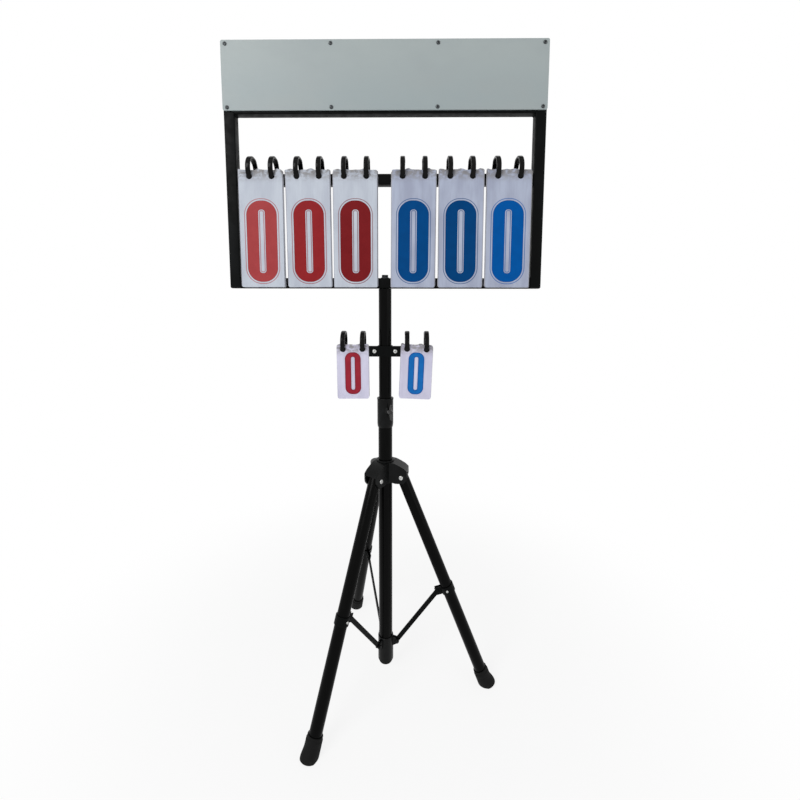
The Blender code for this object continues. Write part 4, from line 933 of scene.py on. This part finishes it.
def snap_ring(outer_radius, width):
    """A section with round corners carried round a circle in the YZ plane. Near the clasp it grows
    by a smooth bump, and at the clasp's two joints it shrinks in a narrow groove."""
    angle = np.linspace(0, 2 * np.pi, 180, endpoint=False)
    apart = (angle - CLASP_ANGLE + np.pi) % (2 * np.pi) - np.pi
    bump = 0.10 * np.exp(-(apart / 0.30) ** 4)
    groove = 0.10 * sum(np.exp(-((apart - joint) / 0.03) ** 2) for joint in (-CLASP_HALF, CLASP_HALF))
    hinge = 0.08 * np.exp(-((np.abs(apart) - np.pi) / 0.10) ** 2)
    scale = 1 + bump - groove - hinge
    section = rounded_outline(width * 1.14, RING_BAND * 0.96, RING_CORNER)
    across = section[None, :, 0] * scale[:, None]
    radius = (outer_radius - RING_BAND / 2) + section[None, :, 1] * scale[:, None]
    points = [across, radius * np.cos(angle)[:, None], radius * np.sin(angle)[:, None]]
    return loft(np.stack(points, axis=-1), ring_path=True)


PADS = [f"{side}_{name}" for side in ("red", "blue") for name in ("1", "2", "3", "set")]
for pad in PADS:
    for side in ("left", "right"):
        node = f"{pad}_{side}_ring"
        size = corners(node)[1] - corners(node)[0]
        points, faces = snap_ring(size[2] / 2, size[0])
        piece(f"{node}_snap", [(points + middle(node), faces)], SHINY, node, sharp=50)
print("a large ring measures", corners("red_1_left_ring")[1] - corners("red_1_left_ring")[0])

# %% [markdown]
# ## Cards
# A pad is a front card and the cards behind it, each a soft plastic sheet a third of a millimetre
# thick. Years of flipping leave their tops wavy between the rings and their corners a little
# curled. All the cards of a pad share the same wave, so that they nest in one another, and each
# has its own top edge, which gives the ragged look between the rings.

# %% Where a ring holds a card
LEAF = 0.36
CARD_HOLE = 5.8


def ring_crossing(ring, y):
    """The height at which a ring passes a card that hangs at depth y: midway between where the
    ring's inner and outer circles pass, each the root of its radius squared less the depth's."""
    low, high = corners(ring)
    _, depth, height = (low + high) / 2
    outer = (high[2] - low[2]) / 2
    roots = [np.sqrt(radius ** 2 - (y - depth) ** 2) for radius in (outer - RING_BAND, outer)]
    return height - sum(roots) / 2


first_card_y = corners("red_1_front_card")[1][1] - LEAF
print("a ring passes the first card at", round(ring_crossing("red_1_left_ring", first_card_y), 2))

# %% Waves, curls and the shell of one card
WAVE_DEPTH = 13.0
HELD_FLAT = 9.0
EDGE_DEPTH = 5.0


def top_wave(x, below_top, holes, height, seed, strength):
    """How far a card's upper part stands forward: two sines across it, fading with depth and
    near the rings, which hold the card flat."""
    fade = np.exp(-(below_top / WAVE_DEPTH) ** 2)
    for hole_x, hole_z in holes:
        near = np.hypot(x - hole_x, height / 2 - below_top - hole_z) / HELD_FLAT
        fade = fade * (1 - np.exp(-near ** 4))
    wave = 1.4 + 1.0 * np.sin(x / 5.2 + seed) + 0.6 * np.sin(x / 2.6 + 2.1 * seed)
    return strength * fade * wave


def curled_corners(x, z, width, height, seed, strength):
    """How far the lower corners stand forward: the square of the place across the card times the
    square of the place down it, with one corner more curled than the other."""
    across = 2 * x / width
    down = np.clip(0.5 - z / height, 0, 1)
    lean = 0.6 + 0.4 * np.sin(2.3 * seed) * np.sign(across)
    return strength * lean * across ** 2 * down ** 2


def card_shell(width, height, corner, holes, front_y, seed, wave, curl, ragged, step):
    """A card about the origin in X and Z, with its wave, its curl and a top edge that rises and
    falls. Its flat points are given back too, for the print."""
    flat, quads = flat_sheet(width, height, corner, step, holes, CARD_HOLE)
    x, z = flat.T
    below_top = height / 2 - z
    y = front_y - top_wave(x, below_top, holes, height, seed, wave)
    y = y - curled_corners(x, z, width, height, seed, curl)
    edge = ragged * (np.sin(x / 6.3 + 3 * seed) + 0.6 * np.sin(x / 2.9 + 5 * seed) - 0.6)
    flat = flat + np.column_stack([0 * x, edge * np.exp(-(below_top / EDGE_DEPTH) ** 2)])
    return thick_sheet(flat, quads, y, LEAF), flat


# %% [markdown]
# A pad hangs a little askew on its rings, and no hand squares it up perfectly: its cards lie up to
# a millimetre or two apart at their edges. So each card is drilled where the rings pass it, moved
# into its place, and turned about its holes with the rest of its pad.

# %% Hanging one card on its rings
LARGE = {"zero": LARGE_ZERO, "plain": LARGE_PLAIN, "corner": 2.0, "wave": 0.9, "leaves": 9,
         "sideways": 1.7, "lifted": 1.2}
SMALL = {"zero": SMALL_ZERO, "plain": SMALL_PLAIN, "corner": 4.0, "wave": 0.6, "leaves": 5,
         "sideways": 0.6, "lifted": 0.6}
LEAN = {"red_set": -0.5, "blue_set": 2.2, "red_2": -0.3, "blue_1": 0.3}


def leaning(points, pivot, degrees):
    """Points turned in the plane of the card about a pivot."""
    angle = math.radians(degrees)
    x, z = points[:, 0] - pivot[0], points[:, 2] - pivot[2]
    turned_x = pivot[0] + x * math.cos(angle) + z * math.sin(angle)
    turned_z = pivot[2] + z * math.cos(angle) - x * math.sin(angle)
    return np.column_stack([turned_x, points[:, 1], turned_z])


def hung_card(pad, kind, card_y, seed, sideways, lifted, short, **shape):
    """A card of a pad at a depth, moved sideways and up from the front card's place, and shorter
    than it. Gives back the shell and the flat points, measured from the zero's centre."""
    low, high = corners(f"{pad}_front_card")
    width, _, height = high - low
    centre = (low + high) / 2
    rings = [f"{pad}_{side}_ring" for side in ("left", "right")]
    hole_z = ring_crossing(rings[0], card_y) - centre[2] - lifted
    holes = [(middle(ring)[0] - centre[0] - sideways, hole_z) for ring in rings]
    (points, faces), flat = card_shell(width, height - short, kind["corner"], holes, card_y, seed,
                                       kind["wave"], **shape)
    points = points + (centre[0] + sideways, 0, centre[2] + lifted)
    pivot = (centre[0], card_y, ring_crossing(rings[0], high[1] - LEAF))
    shell = (leaning(points, pivot, LEAN.get(pad, 0.0)), faces)
    return shell, flat + (0, height / 2 - kind["zero"]["centre"])


# %% [markdown]
# The front card rides on its own body, because it flips over the rings, and carries the printed
# zero. Its back is blank: there the UV map starts a metre to the side, where nothing is printed.
# The cards behind ride with the rings.

# %% All the pads
UNPRINTED = 1000.0


def front_card(pad, kind, seed):
    """The printed card, whose back layer reads the print a metre away from the zero."""
    _, high = corners(f"{pad}_front_card")
    shell, flat = hung_card(pad, kind, high[1] - LEAF, seed, sideways=0.0, lifted=0.0, short=0.0,
                            curl=1.2, ragged=0.5, step=3.0)
    blank = flat + np.column_stack([np.where(flat[:, 0] < 0, -UNPRINTED, UNPRINTED), 0 * flat[:, 0]])
    piece(f"{pad}_printed_card", [shell], CARD_PRINTS[pad], f"{pad}_front_card", sharp=50,
          uv=np.vstack([flat, blank]) / DECIMETRE)


def cards_behind(pad, kind, seed):
    """The other cards of a pad, each with its own offset and its own ragged top."""
    low, high = corners(f"{pad}_card_stack")
    shells, maps = [], []
    for leaf, card_y in enumerate(np.linspace(low[1], high[1] - LEAF, kind["leaves"])):
        own = seed + 0.9 * leaf + 0.4
        shell, flat = hung_card(pad, kind, card_y, seed, kind["sideways"] * np.sin(4.1 * own),
                                kind["lifted"] * np.sin(2.7 * own), short=1.0, curl=0.25,
                                ragged=1.2 + 1.3 * abs(np.sin(own)), step=4.0)
        shells.append(shell)
        maps.append(np.vstack([flat, flat]))
    piece(f"{pad}_cards_behind", shells, kind["plain"], f"{pad}_card_stack", sharp=50,
          uv=np.vstack(maps) / DECIMETRE)


for number, pad in enumerate(PADS):
    kind = SMALL if pad.endswith("set") else LARGE
    seed = 1.7 * number + 0.6
    front_card(pad, kind, seed)
    cards_behind(pad, kind, seed)

# %% [markdown]
# ## The set-score bar and its saddle
# The small pads hang on a flat bar of painted strip. Two screws clamp it to the mast against a
# bent strap, with nuts behind. The bar is the same drilled sheet as a card, only thicker.

# %% The bar
BAR_LOW, BAR_HIGH = corners("set_score_bar")
BAR_WIDTH, _, BAR_HEIGHT = BAR_HIGH - BAR_LOW
BAR_Z = middle("set_score_bar")[2]
BAR_THICKNESS = 2.5
BAR_CORNER = 3.0
BAR_STEP = 8.0
BAR_HOLE = 5.5
SCREW_HEAD = 2.4
BAR_FRONT = BAR_LOW[1] + SCREW_HEAD
SET_RINGS = [f"{side}_set_{hand}_ring" for side in ("red", "blue") for hand in ("left", "right")]

ring_foot = corners(SET_RINGS[0])[0][2] + RING_BAND / 2
holes = [(middle(node)[0], ring_foot - BAR_Z) for node in SET_RINGS]
flat, quads = flat_sheet(BAR_WIDTH, BAR_HEIGHT, BAR_CORNER, BAR_STEP, holes, BAR_HOLE)
points, faces = thick_sheet(flat, quads, np.full(len(flat), BAR_FRONT), BAR_THICKNESS)
piece("set_score_strip", [(points + (0, 0, BAR_Z), faces)], POWDER, "set_score_bar", bevel=0.3)

# %% Its screws, nuts and saddle
CLAMP_X = 20.3
CLAMP_RADIUS = 2.1
NUT_SEAT = 4.0


def clamp_screw(x):
    """A screw's head, its shank through to the saddle's back, and the nut near its end."""
    head = placed(pan_head(4.2, SCREW_HEAD), (x, BAR_FRONT, BAR_Z), FRONT, (1, 0, 0.4))
    rod = turned([(CLAMP_RADIUS, 0), (CLAMP_RADIUS, BAR_HIGH[1] - BAR_FRONT)], 20)
    nut = placed(hex_bolt_head(7.2, 4.1, 0.4, 3.2), (x, BAR_HIGH[1] - NUT_SEAT, BAR_Z), BACK)
    return [head, placed(rod, (x, BAR_FRONT, BAR_Z), BACK), nut]


piece("set_score_screws", clamp_screw(-CLAMP_X) + clamp_screw(CLAMP_X), ZINC, "set_score_bar",
      sharp=40)
softened_copy("mast_saddle", "mast_saddle_strap", POWDER, 0.3)

# %% [markdown]
# ## Round tubes of the mast
# The mast is two drawn tubes, one inside the other. A tube is a turned loop: up the outside, over
# the rim with a small chamfer, and down the inside. A plug fills the upper tube's head, and the
# lower tube ends in a domed cap, turned from an arc, with a neck inside the tube.

# %% Mast tubes
MAST_LOW, MAST_HIGH = corners("upper_tube")
MAST_RADIUS = (MAST_HIGH[0] - MAST_LOW[0]) / 2
LOWER_LOW, LOWER_HIGH = corners("lower_tube")
LOWER_RADIUS = (LOWER_HIGH[0] - LOWER_LOW[0]) / 2
WALL = 1.2
RIM_CUT = 0.4
MAST_PLUG = 28.0
SUNK = 0.2
CAP_DOME = 6.0
CAP_GAP = 0.3


def drawn_tube(radius, low, high, segments=64):
    """A tube as a turned loop, with the outer edge of each end taken off."""
    inner = radius - WALL
    profile = [(radius, low + RIM_CUT), (radius, high - RIM_CUT), (radius - RIM_CUT, high),
               (inner, high), (inner, low), (radius - RIM_CUT, low)]
    return turned(profile, segments, ring_path=True)


plug_radius = MAST_RADIUS - WALL
mast_plug = turned([(plug_radius, MAST_HIGH[2] - MAST_PLUG), (plug_radius, MAST_HIGH[2] - SUNK)])
mast = drawn_tube(MAST_RADIUS, MAST_LOW[2], MAST_HIGH[2])
piece("upper_mast_tube", [placed(mast, AXIS), placed(mast_plug, AXIS)], GLOSS, "upper_tube")
lower = drawn_tube(LOWER_RADIUS, LOWER_LOW[2] + CAP_DOME + CAP_GAP, LOWER_HIGH[2])
piece("lower_mast_tube", [placed(lower, AXIS)], GLOSS, "lower_tube")

# %% End cap
CAP_TOP = LOWER_LOW[2] + CAP_DOME
CAP_EDGE = 0.2
CAP_NECK = 20.0
NECK_PLAY = 0.2
neck_radius = LOWER_RADIUS - WALL - NECK_PLAY
arc_turn = np.linspace(math.radians(88), 0, 14)
dome = np.column_stack([LOWER_RADIUS * np.cos(arc_turn), CAP_TOP - CAP_DOME * np.sin(arc_turn)])
cap = turned(np.vstack([dome, [(LOWER_RADIUS, CAP_TOP + CAP_EDGE)]]))
neck = turned([(neck_radius, CAP_TOP), (neck_radius, CAP_TOP + CAP_NECK)])
piece("end_cap_dome", [placed(cap, AXIS), placed(neck, AXIS)], NYLON, "lower_tube",
      slot="moulded_plastic")

# %% [markdown]
# ## The height collar and its wing knob
# The collar is a nylon sleeve over the lower tube's mouth. Its wall swells into a boss for the
# clamping screw: the radius is a function of height and angle, and the boss is a smooth rise where
# a point is close to the screw's axis.

# %% Height collar
COLLAR_LOW, COLLAR_HIGH = corners("height_collar")
COLLAR_RADIUS = 16.0
COLLAR_PLAY = 0.35
BOSS_RADIUS = 7.2
BOSS_SLOPE = 2.4
BOSS_RISE = 3.3
KNOB_DIRECTION = unit((middle("wing_knob") - AXIS) * (1, 1, 0))
KNOB_ANGLE = math.atan2(KNOB_DIRECTION[1], KNOB_DIRECTION[0])
KNOB_Z = middle("wing_knob")[2]


def swollen_sleeve(profile, bore, segments=120):
    """A sleeve of revolution about Z whose outer radius rises by a smooth step, s²(3 - 2s), where
    the distance to the knob's axis, measured on the sleeve, falls below the boss's radius."""
    radius, height = profile.T
    angle = np.linspace(0, 2 * np.pi, segments, endpoint=False)
    turn = (angle - KNOB_ANGLE + np.pi) % (2 * np.pi) - np.pi
    away = np.hypot(turn[None, :] * COLLAR_RADIUS, height[:, None] - KNOB_Z)
    step = np.clip((BOSS_RADIUS - away) / BOSS_SLOPE, 0, 1)
    outer = radius[:, None] + BOSS_RISE * step * step * (3 - 2 * step)
    radii = np.vstack([outer, np.full((2, segments), bore)])
    z = np.concatenate([height, [height[-1], height[0]]])[:, None] + 0 * radii
    return loft(np.stack([radii * np.cos(angle), radii * np.sin(angle), z], axis=-1), True)


foot = np.array([(-1.1, 0.0), (-0.7, 0.5), (0.0, 7.0)]) + (COLLAR_RADIUS, COLLAR_LOW[2])
body_z = np.linspace(COLLAR_LOW[2] + 7.5, COLLAR_HIGH[2] - 3.4, 40)
body = np.column_stack([np.full(40, COLLAR_RADIUS), body_z])
rim = np.array([(0.0, -3.2), (0.5, -2.8), (0.6, -2.2), (0.6, -0.6), (0.1, 0.0)])
rim = rim + (COLLAR_RADIUS, COLLAR_HIGH[2])
collar = swollen_sleeve(np.vstack([foot, body, rim]), MAST_RADIUS + COLLAR_PLAY)
piece("height_collar_sleeve", [placed(collar, AXIS)], NYLON, "height_collar", sharp=40)

# %% [markdown]
# The knob's two wings are flat petals on a conical body. A petal is a row of ovals: the first
# parameter runs out along the wing and sets the oval's place and size, the second runs round it.

# %% Wing knob
KNOB_SEAT = 19.9
PETAL_ROOT = 2.0
PETAL_TIP = 16.3
PETAL_TOP = 12.3
PETAL_HALF_THICKNESS = 2.0


def wing_petal(side):
    """A flat petal in the XZ plane: its chord narrows towards the tip and leans outwards, and each
    section across it is an oval."""
    share = np.linspace(0, 1, 18)
    round_tip = np.sqrt(np.clip(1 - share ** 6, 0.0004, 1))
    reach = side * (PETAL_ROOT + (PETAL_TIP - PETAL_ROOT) * share)
    centre = 4.0 + 3.6 * share ** 1.3
    half_chord = (4.4 + 0.4 * np.sin(np.pi * share)) * round_tip
    half_thick = PETAL_HALF_THICKNESS * (1.05 - 0.25 * share) * round_tip
    angle = np.linspace(0, 2 * np.pi, 28, endpoint=False)
    x = reach[:, None] + 0 * angle
    y = half_thick[:, None] * np.sign(np.sin(angle)) * np.abs(np.sin(angle)) ** 0.7
    z = np.clip(centre[:, None] + half_chord[:, None] * np.cos(angle), 0.4, PETAL_TOP)
    return loft(np.stack([x, y, z], axis=-1))


knob_base = AXIS + KNOB_DIRECTION * KNOB_SEAT + (0, 0, KNOB_Z)
knob_body = turned([(5.5, 0.0), (5.5, 3.2), (5.0, 6.4), (4.4, 7.8), (3.4, 8.0), (3.2, 7.2),
                    (0.1, 7.2)])
knob_screw = turned([(2.6, -7.0), (2.9, -6.6), (2.9, 0.5)], 24)
knob_parts = [placed(part, knob_base, KNOB_DIRECTION, UP)
              for part in (knob_body, knob_screw, wing_petal(1), wing_petal(-1))]
piece("wing_knob_moulding", knob_parts, KNOB_PLASTIC, "wing_knob", sharp=50)

# %% [markdown]
# ## Hub, lower collar, clips and braces
# These small mouldings and pressings have their slots, lugs and ears in the model, so each is a
# softened copy. The model's hub carries its screws' heads too. Their points are moved back into the
# cheeks, and zinc heads are set on top later.

# %% Mouldings and pressings with rounded edges
LEGS = ("front_leg", "right_leg", "rear_leg")
CHEEK = 16.2
AROUND_A_HEAD = 6.0


def sunk_screw_heads(points):
    """The hub's points: one near a pivot's axis goes no further along it than the cheek."""
    for leg in LEGS:
        pivot = stated_place(JOINTS, f"{leg}_fold")
        sideways = unit(np.cross(UP, (pivot - AXIS) * (1, 1, 0)))
        along = (points - pivot) @ sideways
        around = np.linalg.norm(points - pivot - along[:, None] * sideways, axis=1)
        beyond = np.where(around < AROUND_A_HEAD, along - np.clip(along, -CHEEK, CHEEK), 0)
        points = points - beyond[:, None] * sideways
    return points


softened_copy("hub", "hub_moulding", NYLON, 1.2, change=sunk_screw_heads)
softened_copy("lower_collar", "lower_collar_moulding", NYLON, 0.4)
for leg in LEGS:
    softened_copy(f"{leg}_clip", f"{leg}_clip_band", POWDER, 0.25)
    softened_copy(f"{leg}_brace", f"{leg}_brace_strip", POWDER, 0.35)

# %% [markdown]
# ## Legs, feet and screws
# Each leg is a tube that turns on a screw between the hub's cheeks. The frame gives the screw's
# place and the foot's, and the leg's own points give its direction: the longest axis of their
# spread. The tube's head is rounded by a quarter circle.

# %% Where a leg is, and its tube
LEG_RADIUS = 12.0
LEG_WALL = 2.4
PIVOT_ABOVE = 8.0
HEAD_ROUND = 1.5
TUBE_IN_BOOT = 6.0


def leg_frame(leg):
    """The pivot, the direction up the leg, the direction outwards and the length down to the sole."""
    pivot = stated_place(JOINTS, f"{leg}_fold")
    points = np.array([v.co for v in frame["nodes"][leg].data.vertices])
    up = np.linalg.svd(points - points.mean(axis=0), full_matrices=False)[2][0]
    up = up * np.sign(up[2])
    outwards = unit((pivot - AXIS) * (1, 1, 0))
    length = (pivot[2] - stated_place(MOUNTS, f"{leg}_sole")[2]) / up[2]
    return pivot, up, outwards, length


def leg_tube(length):
    """A turned tube with a rounded head, which is left open a little way down."""
    turn = np.linspace(0, np.pi / 2, 7)[:-1]
    head = np.column_stack([LEG_RADIUS - HEAD_ROUND * (1 - np.cos(turn)),
                            PIVOT_ABOVE - HEAD_ROUND + HEAD_ROUND * np.sin(turn)])
    mouth = [(LEG_RADIUS - LEG_WALL, PIVOT_ABOVE), (LEG_RADIUS - LEG_WALL - 0.6, PIVOT_ABOVE - 0.8)]
    return turned(np.vstack([[(LEG_RADIUS, TUBE_IN_BOOT - length)], head, mouth]), 56)


print("a leg is", round(leg_frame("front_leg")[3], 1), "mm from its screw to its sole")

# %% [markdown]
# The rubber boot is a turned shape with a cuff, a groove and a bulge on its outer side, which is
# the side that it stands on when the leg leans. Every point that would lie below the floor is slid
# back up along the leg, which is how a boot that was cut flat looks.

# %% Boot
BOOT_HEIGHT = 35.0
BOOT_RADIUS = 15.1
CUFF = 5.0
CUFF_RADIUS = 14.1
FLARE_HEIGHT = 18.0
FLARE = 4.5
GROOVE_HEIGHT = 22.0
GROOVE_DEPTH = 0.35


def boot(length):
    """A turned boot at the end of a leg below Z = 0. Its outer side bulges by the cosine of the
    angle, and more towards the floor."""
    height = np.linspace(BOOT_HEIGHT, -2, 46)
    cuff = CUFF_RADIUS - 0.6 * (height > BOOT_HEIGHT - 0.8)
    edge = np.clip((BOOT_HEIGHT - CUFF - height) / 1.2, 0, 1)
    body = CUFF_RADIUS + (BOOT_RADIUS - CUFF_RADIUS) * edge
    radius = np.where(height > BOOT_HEIGHT - CUFF, cuff, body)
    radius = radius - GROOVE_DEPTH * np.exp(-((height - GROOVE_HEIGHT) / 0.8) ** 2)
    share = np.clip((FLARE_HEIGHT - height) / FLARE_HEIGHT, 0, 1)
    flare = FLARE * share * share * (3 - 2 * share)
    angle = np.linspace(0, 2 * np.pi, 72, endpoint=False)
    r = radius[:, None] + flare[:, None] * np.clip(np.cos(angle), 0, 1) ** 1.5
    return loft(np.stack([r * np.cos(angle), r * np.sin(angle), height[:, None] - length + 0 * r],
                         axis=-1))


print("a boot has", len(boot(0)[1]), "faces")

# %% Legs with their boots, screws and rivets
SCREW_RADIUS = 2.8
SCREW_HALF = 17.0
SCREW_SEAT = 16.6
RIVET_SEAT = 13.6


def across_the_leg(head, at, seat, sideways, up):
    """Two heads on an axis across the leg, one on each side at a distance from the point."""
    return [placed(head, at + way * seat * sideways, way * sideways, up) for way in (-1, 1)]


for leg in LEGS:
    pivot, up, outwards, length = leg_frame(leg)
    piece(f"{leg}_tube", [placed(leg_tube(length), pivot, up, outwards)], GLOSS, leg)
    points, faces = placed(boot(length), pivot, up, outwards)
    below = np.minimum(points[:, 2], 0) / up[2]
    piece(f"{leg}_boot", [(points - below[:, None] * up, faces)], RUBBER, f"{leg}_foot", sharp=45)
    sideways = unit(np.cross(up, outwards))
    rod = turned([(SCREW_RADIUS, -SCREW_HALF), (SCREW_RADIUS, SCREW_HALF)], 24)
    heads = across_the_leg(pan_head(4.6, 2.2), pivot, SCREW_SEAT, sideways, up)
    piece(f"{leg}_pivot_bolt", [placed(rod, pivot, sideways, up), *heads], ZINC, "hub", sharp=40,
          slot="zinc")
    clip_height = (stated_place(JOINTS, f"{leg}_brace_fold") - pivot) @ up
    rivets = across_the_leg(pan_head(2.6, 1.3, cross=False), pivot + clip_height * up, RIVET_SEAT,
                            sideways, up)
    piece(f"{leg}_clip_rivets", rivets, ZINC, f"{leg}_clip", sharp=40)
    print(leg, "leans", round(math.degrees(math.acos(up[2])), 2), "degrees")

# %% [markdown]
# ## The floor and the light
# A pale floor keeps a soft shadow under the feet and fades to plain white a metre away, so that no
# horizon shows. The fade is worked out from the distance to the stand's axis. The world is white to
# the eye and in reflections, but gives only part of the light, and two large soft lamps give the
# rest, so colours come out about as written.

# %% What the eye sees as white
WHITE = (1.0, 1.0, 1.0, 1.0)


def sight_ray(tree):
    """One for rays that the eye sees: directly, in a gloss or through glass."""
    seen = 0.0
    for kind in ("Is Camera Ray", "Is Glossy Ray", "Is Transmission Ray"):
        ray = add(tree, "ShaderNodeLightPath", output=kind)
        seen = add(tree, "ShaderNodeMath", (seen, ray), operation="MAXIMUM")
    return seen


# %% The floor
FLOOR_HALF = 6.0
FADE_START = 0.25
FADE_END = 0.95
FADE_LEAST = 0.85


def pale_floor():
    """White paint near the stand, and plain white light beyond, for sight rays only."""
    material = bpy.data.materials.new("pale_floor")
    material.use_nodes = True
    tree = material.node_tree
    tree.nodes.clear()
    place = add(tree, "ShaderNodeTexCoord", output="Object")
    away = add(tree, "ShaderNodeVectorMath", (place,), operation="LENGTH")
    fade = add(tree, "ShaderNodeMapRange", (away, FADE_START, FADE_END, FADE_LEAST, 1.0),
               **SOFT_ENDS)
    seen = add(tree, "ShaderNodeMath", (fade, sight_ray(tree)), operation="MULTIPLY")
    paint = add(tree, "ShaderNodeBsdfDiffuse", {"Color": colour("#fbfbfb")})
    glow = add(tree, "ShaderNodeEmission", {"Color": WHITE, "Strength": 1.0})
    mix = add(tree, "ShaderNodeMixShader", (seen, paint, glow))
    add(tree, "ShaderNodeOutputMaterial", {"Surface": mix})
    return material


span = np.linspace(-FLOOR_HALF, FLOOR_HALF, 3)
floor_x, floor_y = np.meshgrid(span, span)
floor_points = np.column_stack([floor_x.ravel(), floor_y.ravel(), np.zeros(floor_x.size)])
floor_mesh = bpy.data.meshes.new("floor")
floor_mesh.from_pydata(floor_points.tolist(), [], grid_faces(3, 3).tolist())
floor_mesh.materials.append(pale_floor())
floor = bpy.data.objects.new("floor", floor_mesh)
bpy.context.scene.collection.objects.link(floor)
print("the floor is", 2 * FLOOR_HALF, "m wide")

# %% World and lamps
WORLD_LIGHT = 0.42
LAMP_TARGET = (0.0, 0.0, 0.7)


def soft_lamp(name, place, size, power):
    """A square lamp that points at the middle of the model."""
    data = bpy.data.lights.new(name, "AREA")
    data.size = size
    data.energy = power
    lamp = bpy.data.objects.new(name, data)
    bpy.context.scene.collection.objects.link(lamp)
    aim = unit(np.array(place) - LAMP_TARGET)
    side = unit(np.cross(UP, aim))
    turn = Matrix((side, np.cross(aim, side), aim)).transposed()
    lamp.matrix_world = Matrix.Translation(place) @ turn.to_4x4()
    print(name, "gives", power, "W from", size, "m")


world = bpy.data.worlds.new("studio")
world.use_nodes = True
bpy.context.scene.world = world
sky = world.node_tree
sky.nodes.clear()
level = add(sky, "ShaderNodeMapRange", (sight_ray(sky), 0.0, 1.0, WORLD_LIGHT, 1.0), **SOFT_ENDS)
white = add(sky, "ShaderNodeBackground", {"Color": WHITE, "Strength": level})
add(sky, "ShaderNodeOutputWorld", {"Surface": white})
soft_lamp("key_lamp", (-1.7, -2.4, 2.3), 1.6, 52)
soft_lamp("fill_lamp", (2.4, -1.6, 1.2), 1.8, 9)

# %% [markdown]
# ## The camera
# The picture was taken from just over three quarters of a metre away, a little above the middle,
# looking slightly down. Its short lens makes the board look wider at the top than at the foot. The
# camera's place and turn were fitted until the board's corners, the mast and the feet fell where
# they do in the picture.

# %% The camera
EYE = (0.0391, -0.8275 + AXIS[1] * MM, 0.8046)
PITCH = math.radians(5.928)
YAW = math.radians(-0.673)
ROLL = math.radians(0.095)
FOCAL_PIXELS = 420
PHOTO_PIXELS = 800
SENSOR = 36
SHIFT = -0.075
forward = np.array([math.sin(YAW) * math.cos(PITCH), math.cos(YAW) * math.cos(PITCH),
                    -math.sin(PITCH)])
level_right = np.array([math.cos(YAW), -math.sin(YAW), 0.0])
level_up = np.cross(level_right, forward)
right = math.cos(ROLL) * level_right + math.sin(ROLL) * level_up
upwards = math.cos(ROLL) * level_up - math.sin(ROLL) * level_right
camera_data = bpy.data.cameras.new("camera")
camera_data.sensor_width = SENSOR
camera_data.lens = SENSOR * FOCAL_PIXELS / PHOTO_PIXELS
camera_data.shift_y = SHIFT
camera = bpy.data.objects.new("camera", camera_data)
bpy.context.scene.collection.objects.link(camera)
axes = Matrix((right, upwards, -forward)).transposed()
camera.matrix_world = Matrix.Translation(EYE) @ axes.to_4x4()
bpy.context.scene.camera = camera
bpy.context.scene.view_settings.view_transform = "Standard"
print("the lens is", round(camera_data.lens, 1), "mm on a sensor of", SENSOR, "mm")
